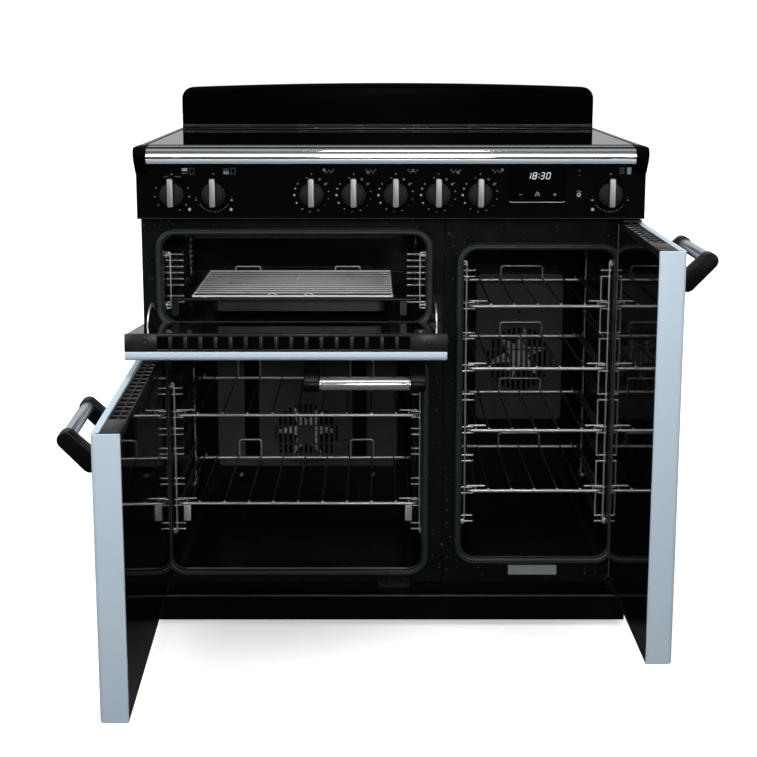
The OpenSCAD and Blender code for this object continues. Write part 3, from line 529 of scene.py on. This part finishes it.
# dark gasket between the glass and its trim
p = Piece()
path, nor = rrect_path(-438.0, 3.0, 438.0, 497.0, 4.0, 5)
rings = []
for (x, y), (nx, ny) in zip(path, nor):
    rings.append([p.bm.verts.new((x + nx * d, y + ny * d, z)) for d, z in ((-1.2, 904.52), (-1.2, 904.85), (1.2, 904.85), (1.2, 904.52))])
for i in range(len(rings)):
    a_, b_ = rings[i], rings[(i + 1) % len(rings)]
    for j in range(4):
        p.bm.faces.new((a_[j], a_[(j + 1) % 4], b_[(j + 1) % 4], b_[j]))
bmesh.ops.recalc_face_normals(p.bm, faces=list(p.bm.faces))
p.done("hob_gasket_line", "gasket", slot="hob_trim")

# ------------------------------------------------------------------ seals
p = Piece()
sec = [(0.2, -0.3), (0.2, -5.2), (1.0, -7.0), (2.6, -8.4), (4.4, -8.9), (5.4, -8.3), (6.2, -8.3), (7.2, -8.9), (9.0, -8.4),
       (10.6, -7.0), (11.3, -5.2), (11.3, -0.3)]
for (x0, z0, x1, z1, r) in ((-414, 581, 66, 743, 26), (-410, 107, 60, 512, 27), (132, 130, 410, 716, 27)):
    path, nor = rrect_path(x0, z0, x1, z1, r, 12)
    p.sweep_ring(path, nor, sec)
o = p.done("door_seal_rings", "seal", slot="seal", sharp=60)
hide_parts("door_seals")

# thin lip of each liner just inside its seal, lighter than the liner: a real bead with a painted highlight line
p = Piece()
sec = [(-0.2, -0.2), (-1.1, -0.5), (-1.3, 1.6), (-0.1, 1.9)]
for (x0, z0, x1, z1, r) in ((-414, 581, 66, 743, 26), (-410, 107, 60, 512, 27), (132, 130, 410, 716, 27)):
    path, nor = rrect_path(x0, z0, x1, z1, r, 12)
    p.sweep_ring(path, nor, sec)
p.done("liner_lips", "lip", slot="liner_enamel")

# ------------------------------------------------------------ wire racks
MAIN_R = [441, 396, 363, 324.5, 265.5, 223.5, 177]
TALL_R = [665, 604, 547, 485.5, 429.6, 366, 311, 248, 192]
GRILL_R = [695, 672, 649, 617]


def rack(p, xw, xu, xr, s, rungs, z0, z1, f=9):
    for y in (40, 310):
        top = [(xw + s * 0.8, y, z1 - 2), (xw + s * 2.2, y, z1 - 1.2), (xu - s * 1.2, y, z1 - 2.4), (xu, y, z1 - 5)]
        p.tube(top + [(xu, y, z0 + 4), (xu - s * 1.2, y, z0 + 2), (xw + s * 0.8, y, z0 + 1.8)], 1.9, 10)
        for z in (z0 + 8, z1 - 8):
            p.tube([(xw + s * 0.1, y, z), (xu, y, z)], 2.1, 8)
            p.lathe([(0, 0), (5, 0), (5, 1.0), (3, 2.2), (0, 2.2)], (xw + s * 0.05, y, z), (s, 0, 0), 12)
    for z in rungs:
        for d in (-5.75, 5.75):
            zz = z + d
            p.tube([(xr + s * (f - 0.5), 40.2, zz), (xr + s * 5, 40, zz), (xr + s * 2.4, 40.6, zz), (xr + s * 0.7, 42.2, zz), (xr, 45, zz),
                    (xr, 302, zz), (xr - s * 0.6, 306, zz), (xr - s * 2, 309, zz), (xu, 310, zz)], 1.55, 8)
            p.tube([(xw + s * 1.4, 40, zz), (xr + s * 3, 40, zz)], 1.5, 8)
            # rounded end of each rung
            p.lathe([(0, -2.1), (1.3, -1.7), (2.0, -0.6), (2.0, 0.6), (1.3, 1.7), (0, 2.1)], (xr + s * (f - 1.0), 40.2, zz), (1, 0, 0), 12)


p = Piece()
rack(p, -410, -404.6, -398, 1, MAIN_R, 162, 458)
rack(p, 60, 56.6, 50, -1, MAIN_R, 162, 458)
o1 = p.done("main_oven_racks", "wire", slot="rack_wire", sharp=60)
p = Piece()
rack(p, 132, 141.5, 148, 1, TALL_R, 181, 690)
rack(p, 410, 405.5, 399, -1, TALL_R, 181, 690)
for a, b in zip(TALL_R, TALL_R[1:]):
    p.tube([(390.6, 40.2, a - 5.8), (390.6, 40.2, b + 5.8)], 1.55, 10)
o2 = p.done("tall_oven_racks", "wire", slot="rack_wire", sharp=60)
p = Piece()
rack(p, -414, -405.6, -399, 1, GRILL_R, 598, 706, 17)
rack(p, 66, 55.6, 49, -1, GRILL_R, 598, 706, 17)
o3 = p.done("grill_racks", "wire", slot="rack_wire", sharp=60)
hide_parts("shelf_ladders")

# hanging tabs of the lower shelf, in their own finish
p = Piece()
for x in (-390.5, 29.5):
    p.box(x - 0.1, x + 13.1, 33.8, 36.5, 189.2, 222.8, 0.5)
p.done("lower_shelf_tabs", "tab", "main_shelf_lower", slot="rack_wire")

# ------------------------------------------------------------------ knobs
KX = [-385.4, -311.8, -139.5, -65.4, 8.6, 83.6, 157.2, 386.4]
for k, x in enumerate(KX):
    body = "knob_%d" % (k + 1)
    p = Piece()
    p.lathe([(0, 51.4), (20.2, 51.4), (20.9, 52.2), (20.9, 56.2), (20.2, 57.2), (18.4, 57.6), (18.0, 57.3), (17.6, 57.6),
             (16.5, 59.6), (15.0, 60.0), (0, 60.0)], (x, 0, 821), (0, -1, 0), 64)
    a = p.done("knob_%d_skirt" % (k + 1), "skirt", body, slot="knob", sharp=40)
    p = Piece()
    # straight dark grip with a metal face
    def grip_outline(w, g=0.0):
        return [(x - w, 821 - 18.3 + g), (x - w + 1.7, 821 - 20.0 + g), (x + w - 1.7, 821 - 20.0 + g), (x + w, 821 - 18.3 + g),
                (x + w, 821 + 27.8 - g), (x + w - 1.7, 821 + 29.5 - g), (x - w + 1.7, 821 + 29.5 - g), (x - w, 821 + 27.8 - g)]

    p.prism(grip_outline(4.8, 0.2), "y", -73.4, -58.5, 0.5, 2, limit=30)
    b = p.done("knob_%d_grip_body" % (k + 1), "ends", body, slot="knob", sharp=50)
    p = Piece()
    p.prism(grip_outline(5.0), "y", -75.3, -72.6, 0.8, 3, limit=30)
    p.done("knob_%d_grip_face" % (k + 1), "grip", body, slot="knob", sharp=50)
    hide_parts("knob_%d" % (k + 1))

# ---------------------------------------------------------------- handles
def handle(name, body, xf, x0, x1, top, node):
    cy, cz, m = -96.0, top - 20.0, (x0 + x1) / 2
    p = Piece()
    for a in (x0, x1 - 26):
        pts = [(-54.1, top - 38), (-54.1, top - 67), (-55.5, top - 69), (-64.5, top - 69), (-70, top - 66)]
        pts += [(cy + 12.9 * math.cos(math.radians(t)), cz + 12.9 * math.sin(math.radians(t))) for t in range(-128 - 10, -128 - 200, -15)]
        pts += [(-62, top - 34), (-57, top - 36.2)]
        p.prism(pts, "x", a, a + 26, 2.2, 3, limit=50)
    ends = p.done(name + "_ends", "ends", body, xf, slot="handle_metal", sharp=45)
    p = Piece()
    h = m - x0 - 26
    p.lathe([(0, -h - 3), (9.2, -h - 3), (9.2, -h + 0.6), (10.1, -h + 1.4), (10.3, -h + 2.5), (10.3, h - 2.5), (10.1, h - 1.4),
             (9.2, h - 0.6), (9.2, h + 3), (0, h + 3)], (m, cy, cz), (1, 0, 0), 48)
    p.done(name + "_bar", "brushed", body, xf, slot="handle_metal", sharp=40)
    p = Piece()
    for a in (x0, x1 - 26):
        # round foot plate where each end meets the door
        p.prism([(a + 13 + 14.2 * math.cos(t) * 0.93, top - 53.5 + 16.5 * math.sin(t)) for t in
                 [math.radians(15 * i) for i in range(24)]], "y", -56.2, -54.02, 0.6, 2, limit=60)
    p.done(name + "_feet", "ends", body, xf, slot="handle_metal", sharp=40)
    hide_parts(node)


handle("main_door_pull", "lower_left_door", X_MAIN, -147, 57, 534, "main_door_handle")
handle("tall_door_pull", "tall_right_door", X_TALL, 122, 326, 768, "tall_door_handle")
handle("grill_door_pull", "grill_door", X_GRILL, -147, 57, 765, "grill_door_handle")


# ------------------------------------------------------------------ doors
def side_door(name, body, xf, xh, xf_, z0, z1):
    s = 1 if xf_ > xh else -1
    a, b = min(xh, xf_) + 0.1, max(xh, xf_) - 0.1
    # painted outer tray with the full-depth painted free edge
    r = 7.5
    left = [(a + r - r * math.cos(math.radians(t)), -53.9 + r - r * math.sin(math.radians(t))) for t in range(0, 91, 10)]
    right = [(b - r + r * math.sin(math.radians(t)), -53.9 + r - r * math.cos(math.radians(t))) for t in range(0, 91, 10)]
    if s > 0:
        pts = [(a, -42.6)] + left + right + [(b, -11.2), (b - 1.8, -11.2), (b - 2.4, -12), (b - 2.4, -42.6)]
    else:
        pts = [(a, -11.2)] + left + right + [(b, -42.6), (a + 2.4, -42.6), (a + 2.4, -12), (a + 1.8, -11.2)]
    p = Piece()
    p.prism(pts, "z", z0 + 0.1, z1 - 0.1, 1.6, 3, limit=35)
    o = p.done(name + "_outer_skin", "paint", body, xf, slot="door_paint", sharp=50)
    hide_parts(name + "_outer")
    # air vents along the top and bottom edges
    p, dark, rib = Piece(), Piece(), Piece()
    W = abs(xf_ - xh)
    L = lambda u: xh + s * u
    n = int((W - 76) / 25) - 1
    for zz0, zz1 in ((z1 - 12, z1 - 0.3), (z0 + 0.3, z0 + 12)):
        def bar(q, u0, u1, y0, y1, za=zz0, zb=zz1, bev=0.7):
            q.box(min(L(u0), L(u1)), max(L(u0), L(u1)), y0, y1, za, zb, bev, 2)
        p.prism([(L(0.2), -42.4), (L(40), -42.4), (L(40), -11.3), (L(13), -11.3), (L(0.2), -24)], "z", zz0, zz1, 0.7, 2)
        u_end = 40 + (n - 1) * 25 + 20
        bar(p, u_end, W - 2.7, -42.4, -11.3)
        for y0, y1 in ((-42.4, -38.6), (-14.9, -11.3)):
            bar(p, 39, u_end + 1, y0, y1)
        # the middle bar and the ribs are lighter than the vent frame: painted light on their tops
        bar(rib, 39, u_end + 1, -27.6, -25.8)
        for i in range(n - 1):
            bar(rib, 61.2 + i * 25, 63.8 + i * 25, -40, -13.6, *((zz0, zz1 - 0.7) if zz0 > 300 else (zz0 + 0.7, zz1)))
        # each slot ends on a near-black plate: painted shade inside the door
        bar(dark, 38, u_end + 2, -41.5, -12.5, *((zz1 - 4.2, zz1 - 3.0) if zz0 > 300 else (zz0 + 3.0, zz0 + 4.2)), 0)
    o = p.done(name + "_vent_grids", "vents", body, xf, slot="door_vents", sharp=40)
    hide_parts(name + "_vents")
    dark.done(name + "_vent_backs", "recess", body, xf, slot="door_vents")
    rib.done(name + "_vent_ribs", "ventrib", body, xf, slot="door_vents", sharp=40)
    # screws at the ends of the vents
    p = Piece()
    for u in (24, abs(xf_ - xh) - 16):
        for z, d in ((z1 - 0.35, 1), (z0 + 0.35, -1)):
            p.lathe([(0, 0), (4.2, 0), (3.8, 0.6 * 0.3), (0, 0.6 * 0.3)], (xh + s * u, -20 if u > 30 else -17, z), (0, 0, d), 20)
    p.done(name + "_vent_screws", "bracket", body, xf, slot="bracket_steel")


side_door("main_door", "lower_left_door", X_MAIN, -447, 92, 92, 534)
side_door("tall_door", "tall_right_door", X_TALL, 447, 98, 92, 768)

p = Piece()
r = 7.5
pts = [(-39.1, 546.1)] + [(-53.9 + r - r * math.sin(math.radians(t)), 546.1 + r - r * math.cos(math.radians(t))) for t in range(0, 91, 10)]
pts += [(-53.9 + r - r * math.cos(math.radians(t)), 764.9 - r + r * math.sin(math.radians(t))) for t in range(0, 91, 10)] + [(-39.1, 764.9)]
p.prism(pts, "x", -443.4, 91.9, 1.6, 3, limit=35)
o = p.done("grill_door_outer_skin", "paint", "grill_door", X_GRILL, slot="door_paint", sharp=50)
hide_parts("grill_door_outer")
p = Piece()
zz0, zz1 = 753.2, 764.7
p.box(-443.4, -389, -38.9, -9.5, zz0, zz1, 1.0)
p.box(30.5, 91.9, -38.9, -9.5, zz0, zz1, 1.0)
p.box(-390, 32, -38.9, -34.9, zz0, zz1, 0.8)
p.box(-390, 32, -14.5, -9.5, zz0, zz1, 0.8)
for i in range(16):
    x = -367.2 + i * 25.05
    p.box(x - 3.1, x + 3.1, -37, -13, zz0, zz1, 0.9)
# near-black plate under the slots: painted shade inside the door
dark = Piece()
dark.box(-392, 34, -38, -12.5, zz0 - 0.5, zz0 + 0.7)
dark.done("grill_door_vent_back", "recess", "grill_door", X_GRILL, slot="door_vents")
o = p.done("grill_door_vent_grid", "vents", "grill_door", X_GRILL, slot="door_vents", sharp=40)
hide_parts("grill_door_vent")
# vent screws: light grey rims and centres as painted highlights, each on a near-black disc painted as the shade in its
# hole
p = Piece()
hole = Piece()
for x in (-409, 62):
    hole.lathe([(0, -0.3), (5.0, -0.3), (5.0, 0.06), (0, 0.06)], (x, -23, 764.75), (0, 0, 1), 24)
    p.lathe([(2.7, -0.1), (3.5, -0.1), (3.5, 0.2), (2.7, 0.2)], (x, -23, 764.75), (0, 0, 1), 24)
    p.lathe([(0, -0.1), (1.3, -0.1), (1.2, 0.2), (0, 0.2)], (x, -23, 764.75), (0, 0, 1), 16)
p.done("grill_door_vent_screws", "edge", "grill_door", X_GRILL, slot="bracket_steel")
hole.done("grill_door_vent_screw_holes", "recess", "grill_door", X_GRILL, slot="door_vents")

# wire trivet in the grill pan
p = Piece()
z = 620.3
for y in (50, 330):
    p.tube([(-367, y, z), (4, y, z)], 2.1, 12)
    for x in (-345, -5):
        p.tube([(x, y, z), (x, y, 617.6)], 1.6, 10)
for x in (-367, 4):
    p.tube([(x, 50, z), (x, 330, z)], 1.8, 12)
for x in (-219, -151):
    p.tube([(x - 8, 49, z + 1.0), (x - 5.5, 47.6, z + 5.2), (x, 47.2, z + 7.0), (x + 5.5, 47.6, z + 5.2), (x + 8, 49, z + 1.0)], 1.3, 8)
for x in (-290, -84):
    p.tube([(x - 26, 331, z), (x - 25, 331, z + 8.6), (x - 22, 331, z + 9.6), (x + 22, 331, z + 9.6), (x + 25, 331, z + 8.6), (x + 26, 331, z)], 1.3, 8)
for i in range(1, 13):
    p.tube([(-366.5, 50 + i * 21.5, z + 2.1), (3.5, 50 + i * 21.5, z + 2.1)], 1.0, 10)
q = Piece()
q.tube([(-181, 50, z - 0.6), (-181, 330, z - 0.6)], 1.4, 10)
q.done("grill_trivet_middle_wire", "bracket", "grill_pan_set", slot="rack_wire", sharp=60)
o = p.done("grill_trivet_wires", "trivet", "grill_pan_set", slot="rack_wire", sharp=60)
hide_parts("grill_trivet")

# ------------------------------------------------------ control panel print
YF = -50.0


def dot(p, x, z, r, n=14):
    p.prism([(x + r * math.cos(2 * math.pi * i / n), z + r * math.sin(2 * math.pi * i / n)) for i in range(n)], "y", YF - 0.12, YF - 0.01)


def line(p, x0, z0, x1, z1, w):
    d = Vector((x1 - x0, z1 - z0))
    if d.length < 1e-6:
        return
    d.normalize()
    n = Vector((-d.y, d.x)) * w / 2
    p.prism([(x0 + n.x, z0 + n.y), (x1 + n.x, z1 + n.y), (x1 - n.x, z1 - n.y), (x0 - n.x, z0 - n.y)], "y", YF - 0.12, YF - 0.01)


def ringmark(p, x, z, r, w, a0=0, a1=360, n=20):
    pts = arc(x, z, r, a0, a1, n)
    for (x0, z0), (x1, z1) in zip(pts, pts[1:]):
        line(p, x0, z0, x1, z1, w)


def pol(x, a, r):
    """a is clockwise from the top."""
    return x + r * math.sin(math.radians(a)), 821 + r * math.cos(math.radians(a))


bright, dim, blue = Piece(), Piece(), Piece()
for k, x in enumerate(KX):
    dot(bright, x, 821 + 36.2, 1.0)
    if 2 <= k <= 6:
        # hob control: dots growing round the dial
        for a, r in ((308, 1.1), (290, 1.5), (268, 1.9), (241, 1.6), (213, 1.1), (186, 0.8), (158, 0.9), (105, 0.8), (79, 1.0), (-15, 0.9)):
            dot(bright, *pol(x, a, 30.5), r)
        dot(dim, *pol(x, 130, 30.5), 0.9)
        dot(dim, *pol(x, 28, 30.5), 2.2)
        # a tiny pan sign
        gx, gz = pol(x, 53, 30.5)
        ringmark(bright, gx, gz, 1.6, 0.6, n=10)
        line(bright, gx + 1.8, gz + 1.2, gx + 4.2, gz + 2.0, 0.6)
        # small plan of the cooking zones, with one ringed
        zx, zz = x + 30.3, 862.2
        plan = ((-8.0, 2.0), (-4.6, -2.2), (0, 1.2), (4.2, -2.2), (8.0, 2.2))
        for i, (dx, dz) in enumerate(plan):
            if i == k - 2:
                ringmark(bright, zx + dx, zz + dz, 1.9, 0.9, n=14)
            else:
                ringmark(dim, zx + dx, zz + dz, 1.2, 0.8, n=8)
        for (ax, az), (cx_, cz_) in zip(plan, plan[1:]):
            line(dim, zx + ax * 0.8 + cx_ * 0.2, zz + az * 0.8 + cz_ * 0.2, zx + ax * 0.25 + cx_ * 0.75, zz + az * 0.25 + cz_ * 0.75, 0.45)
    elif k == 0:
        for a in (-67, -97, -127, 67, 97, 127, 154):
            dot(bright, *pol(x, a, 30.5), 1.0)
        line(dim, x - 14, 852.6, x - 6, 852.9, 1.0)
        line(dim, x + 5.7, 852.9, x + 16, 852.6, 1.0)
        dot(bright, x + 30.5, 794.5, 2.7)
    else:
        for i in range(16):
            a = -71 + i * 142 / 15
            if 1 < i < 14:
                dot(bright, *pol(x, 180 + a, 30.5), 0.7)
        for s in (-1, 1):
            gx, gz = x + s * 31, 811
            p_ = bright if s * (1 if k == 1 else -1) > 0 else dim
            dot(p_, gx, gz, 1.7, 6)
            line(p_, gx - 2.6, gz + 0.2, gx + 2.6, gz + 0.2, 1.2)
            dot(dim, gx, gz + 5.4, 0.8)
        dot(bright, x + (30 if k == 1 else -30.5), 794.6, 2.7)
# icons that show which cavity each control works
for x, fill, up in ((KX[0] + 28.8, 0, 0), (KX[1] + 27.8, 1, 0), (KX[7] + 25.0, 2, 1.6)):
    for x0, x1, z0, z1, on in ((x - 10.4, x - 0.6, 862.7, 867.4 + up, fill == 0), (x - 10.4, x - 0.6, 856.8, 861.6, fill == 1),
                               (x + 3.4, x + 10.4, 856.8, 867.4 + up, fill == 2)):
        if on:
            (bright if fill == 0 else blue).prism([(x0, z0), (x1, z0), (x1, z1), (x0, z1)], "y", YF - 0.12, YF - 0.01)
        elif x0 < x:
            # shelves drawn as two short lines
            for q in (0.25, 0.75):
                line(dim, x0, z0 + (z1 - z0) * q, x1, z0 + (z1 - z0) * q, 0.7)
        else:
            for a, b in (((x0, z0), (x1, z0)), ((x1, z0), (x1, z1)), ((x1, z1), (x0, z1)), ((x0, z1), (x0, z0))):
                line(dim, *a, *b, 0.6)
# indicator symbols to the right of the clock
ringmark(bright, 331, 820.6, 2.6, 2.6)
for dx, dz in ((-3.4, 6.0), (0.2, 6.9), (3.8, 5.4)):
    line(bright, 331 + dx * 0.8, 820.6 + dz * 0.82, 331 + dx * 1.1, 820.6 + dz * 1.15, 1.0)
line(dim, 328, 862.0, 331, 864.2, 0.8)
line(dim, 334, 862.0, 331, 864.2, 0.8)
dot(dim, 331, 855.0, 1.1)
bright.done("panel_marks_bright", "print", slot="panel_black")
dim.done("panel_marks_dim", "print_dim", slot="panel_black")
blue.done("panel_marks_blue", "print_blue", slot="panel_black")

# clock window: bezel, face and digits
p = Piece()
path, nor = rrect_path(208.6, 808.2, 306.8, 868.0, 3.0, 5)
p.sweep_ring(path, nor, [(-0.9, YF - 0.05), (-0.9, YF - 0.5), (0.9, YF - 0.5), (0.9, YF - 0.05)])
p.done("clock_bezel", "cap", slot="clock_face")
# lower lip of the bezel in light metal, as a painted highlight line under the black bezel
p = Piece()
p.prism([(211.5, 806.6), (304, 806.6), (306.8, 808.6), (306.2, 809.4), (303.2, 808.2), (212.2, 808.2), (209.2, 809.4), (208.6, 808.6)], "y", YF - 1.4, YF - 0.02, 0.25, 2)
p.done("clock_lower_lip", "grip", slot="clock_face")
SEG = {"a": ((0, 2), (1, 2)), "b": ((1, 2), (1, 1)), "c": ((1, 1), (1, 0)), "d": ((0, 0), (1, 0)), "e": ((0, 1), (0, 0)),
       "f": ((0, 2), (0, 1)), "g": ((0, 1), (1, 1))}
DIG = {"1": "bc", "8": "abcdefg", "3": "abgcd", "0": "abcdef"}
p = Piece()
YF2 = YF
for ch, x in (("1", 240.5), ("8", 250.2), ("3", 263.6), ("0", 273.4)):
    for s in DIG[ch]:
        (u0, v0), (u1, v1) = SEG[s]
        q = []
        for u, v in ((u0, v0), (u1, v1)):
            z = 848.6 + v * 5.4
            q.append((261.2 + ((x - 261.2) + u * 5.6) * 1.04 + (z - 854) * 0.2, z))
        dx, dz = q[1][0] - q[0][0], q[1][1] - q[0][1]
        line(p, q[0][0] + dx * 0.08, q[0][1] + dz * 0.08, q[1][0] - dx * 0.08, q[1][1] - dz * 0.08, 1.05)
dot(p, 260.9, 857.0, 0.75)
dot(p, 260.0, 851.4, 0.75)
p.done("clock_digits", "digits", slot="clock_face")
p = Piece()
line(p, 225.8, 821, 231.2, 821, 0.8)
line(p, 286.2, 821, 291.6, 821, 0.8)
line(p, 288.9, 818.3, 288.9, 823.7, 0.8)
ringmark(p, 258.2, 821.4, 2.9, 1.0, 0, 180, 10)
line(p, 255.3, 821.4, 254.4, 817.8, 1.0)
line(p, 261.1, 821.4, 262.0, 817.8, 1.0)
line(p, 258.2, 822.0, 258.2, 818.6, 1.0)
dot(p, 258.2, 825.2, 0.8)
p.done("clock_touch_marks", "print", slot="clock_face")

# ------------------------------------------------- hob zone rings, printed
p = Piece()
for x, y, r in ((-290, 120, 75), (-290, 360, 95), (0, 230, 115), (290, 120, 95), (290, 360, 75)):
    for rr_, w in ((r, 1.2), (r - 22, 0.7)):
        n = 72
        inner = [p.bm.verts.new((x + (rr_ - w) * math.cos(2 * math.pi * i / n), y + (rr_ - w) * math.sin(2 * math.pi * i / n), 904.56)) for i in range(n)]
        outer = [p.bm.verts.new((x + rr_ * math.cos(2 * math.pi * i / n), y + rr_ * math.sin(2 * math.pi * i / n), 904.56)) for i in range(n)]
        for i in range(n):
            p.bm.faces.new((inner[i], outer[i], outer[(i + 1) % n], inner[(i + 1) % n]))
p.done("hob_zone_rings", "zone", slot="hob_glass")

# painted highlight lines: lighter strips along the top edge of the plinth and the foot of the fascia
p = Piece()
p.box(-440.8, 440.8, -15.3, -13.2, 58.2, 61.0, 0.4)
p.done("plinth_top_edge", "edge", slot="panel_black")
p = Piece()
p.box(-447.0, 447.0, -50.2, -48.6, 777.6, 779.6, 0.3)
p.done("fascia_lower_edge", "upfoot", slot="panel_black")
# bead down the hinge edge of the tall door's inner face, light grey as a painted highlight
p = Piece()
p.box(444.6, 446.9, -13.6, -10.95, 96, 764, 0.5)
p.done("tall_door_hinge_bead", "edge", "tall_right_door", X_TALL, slot="door_inner")
# dome nuts low on the back wall of the wide oven
p = Piece()
for x in (-321, -32):
    p.lathe([(0, 429.9 - 420), (4.6, 429.9 - 420), (4.6, 429.9 - 422), (4.0, 429.9 - 424), (2.6, 429.9 - 425.6), (0, 429.9 - 426.2)],
            (x, 420, 150), (0, 1, 0), 20)
p.done("back_wall_dome_nuts", "steel", slot="bracket_steel")

# rounded ends of the shelf wires on the front bars, lighter than the wire as painted highlights
MW, TW = [-360 + i * 46.5 for i in range(9)], [186.5 + i * 43.5 for i in range(5)]
for name, xs, z in (("main_shelf_upper", MW, 396), ("main_shelf_lower", MW, 223.5), ("tall_shelf_1", TW, 604), ("tall_shelf_2", TW, 485.5),
                    ("tall_shelf_3", TW, 366), ("tall_shelf_4", TW, 248)):
    p = Piece()
    for x in xs:
        p.lathe([(0, -1.9), (1.0, -1.7), (1.75, -0.9), (1.95, 0), (1.75, 0.9), (1.0, 1.7), (0, 1.9)], (x, 33.4, z + 4.0), (0, 1, 0), 14)
    p.done(name + "_wire_ends", "wire_end_highlight", name, slot="rack_wire", sharp=60)
# edge of the wide oven's liner along the foot of its mouth, light grey as a painted highlight line
p = Piece()
p.prism([(-1.2, 107.4), (-1.2, 108.5), (1.4, 109.0), (1.6, 107.4)], "x", -383, 33, 0.2, 1, limit=60)
p.done("main_liner_edge_painted_highlight", "lip_highlight_line", slot="liner_enamel")

# ------------------------------------------- blank plate on the right frame
p = Piece()
p.box(223, 314, -0.7, -0.02, 95.5, 114.5, 0.25, 1)
p.done("blank_rating_plate", "plate", slot="bracket_steel")

# -------------------------------------------------------- stage and lights
bpy.ops.mesh.primitive_plane_add(size=40, location=(0, 0, 0))
floor = bpy.context.object
floor.name = "floor"
m, nt, b, co = new_mat("floor_white")
c = ramp(nt, noise(nt, co, 0.6, 2.0), [(0.3, (0.93, 0.93, 0.93)), (0.7, (0.95, 0.95, 0.95))])
nt.links.new(c, b.inputs["Base Color"])
nt.links.new(c, b.inputs["Emission Color"])
fl = nt.nodes.new("ShaderNodeVectorMath")
fl.operation = "LENGTH"
nt.links.new(co, fl.inputs[0])
fm = nt.nodes.new("ShaderNodeMapRange")
fm.inputs["From Min"].default_value = 0.5
fm.inputs["From Max"].default_value = 2.0
fm.inputs["To Min"].default_value = 0.42
fm.inputs["To Max"].default_value = 1.1
nt.links.new(fl.outputs["Value"], fm.inputs["Value"])
nt.links.new(fm.outputs[0], b.inputs["Emission Strength"])
b.inputs["Roughness"].default_value = 0.75
b.inputs["Specular IOR Level"].default_value = 0.0
dk = nt.nodes.new("ShaderNodeBsdfDiffuse")
dk.inputs["Color"].default_value = (0.05, 0.05, 0.05, 1)
lpf = nt.nodes.new("ShaderNodeLightPath")
mxf = nt.nodes.new("ShaderNodeMixShader")
nt.links.new(lpf.outputs["Is Camera Ray"], mxf.inputs[0])
nt.links.new(dk.outputs[0], mxf.inputs[1])
nt.links.new(b.outputs[0], mxf.inputs[2])
nt.links.new(mxf.outputs[0], [n for n in nt.nodes if n.type == "OUTPUT_MATERIAL"][0].inputs[0])
floor.data.materials.append(m)

world = bpy.data.worlds.new("studio")
bpy.context.scene.world = world
world.use_nodes = True
wt = world.node_tree
wt.nodes.clear()
wo = wt.nodes.new("ShaderNodeOutputWorld")
bg1 = wt.nodes.new("ShaderNodeBackground")
bg2 = wt.nodes.new("ShaderNodeBackground")
mixw = wt.nodes.new("ShaderNodeMixShader")
lp = wt.nodes.new("ShaderNodeLightPath")
tc = wt.nodes.new("ShaderNodeTexCoord")
sx = wt.nodes.new("ShaderNodeSeparateXYZ")
wt.links.new(tc.outputs["Generated"], sx.inputs[0])
# dark towards the front of the room, pale behind, at the sides and above
rmp = wt.nodes.new("ShaderNodeMapRange")
rmp.inputs["From Min"].default_value = -0.55
rmp.inputs["From Max"].default_value = 0.1
rmp.inputs["To Min"].default_value = 0.012
rmp.inputs["To Max"].default_value = 0.52
wt.links.new(sx.outputs["Y"], rmp.inputs["Value"])
bg1.inputs["Color"].default_value = (1, 1, 1, 1)
wt.links.new(rmp.outputs[0], bg1.inputs["Strength"])
bg2.inputs["Color"].default_value = (1, 1, 1, 1)
bg2.inputs["Strength"].default_value = 1.05
wt.links.new(lp.outputs["Is Camera Ray"], mixw.inputs[0])
wt.links.new(bg1.outputs[0], mixw.inputs[1])
wt.links.new(bg2.outputs[0], mixw.inputs[2])
wt.links.new(mixw.outputs[0], wo.inputs[0])


def area(name, loc, target, sx_, sy_, power, col=(1, 1, 1)):
    d = bpy.data.lights.new(name, "AREA")
    d.shape = "RECTANGLE"
    d.size, d.size_y = sx_, sy_
    d.energy = power
    d.color = col
    o = bpy.data.objects.new(name, d)
    bpy.context.scene.collection.objects.link(o)
    o.location = loc
    o.rotation_euler = (Vector(target) - Vector(loc)).to_track_quat("-Z", "Y").to_euler()
    return o


area("key_top", (0, -0.8, 3.6), (0, 0.1, 0.4), 3.4, 1.6, 95)
area("front_left", (-2.6, -3.0, 2.0), (0, 0, 0.5), 1.2, 1.8, 60)
area("front_right", (2.4, -3.2, 1.8), (0, 0, 0.5), 1.0, 1.6, 52)
area("oven_fill", (0.1, -3.4, 1.5), (0, 0.2, 0.4), 0.7, 0.4, 26)
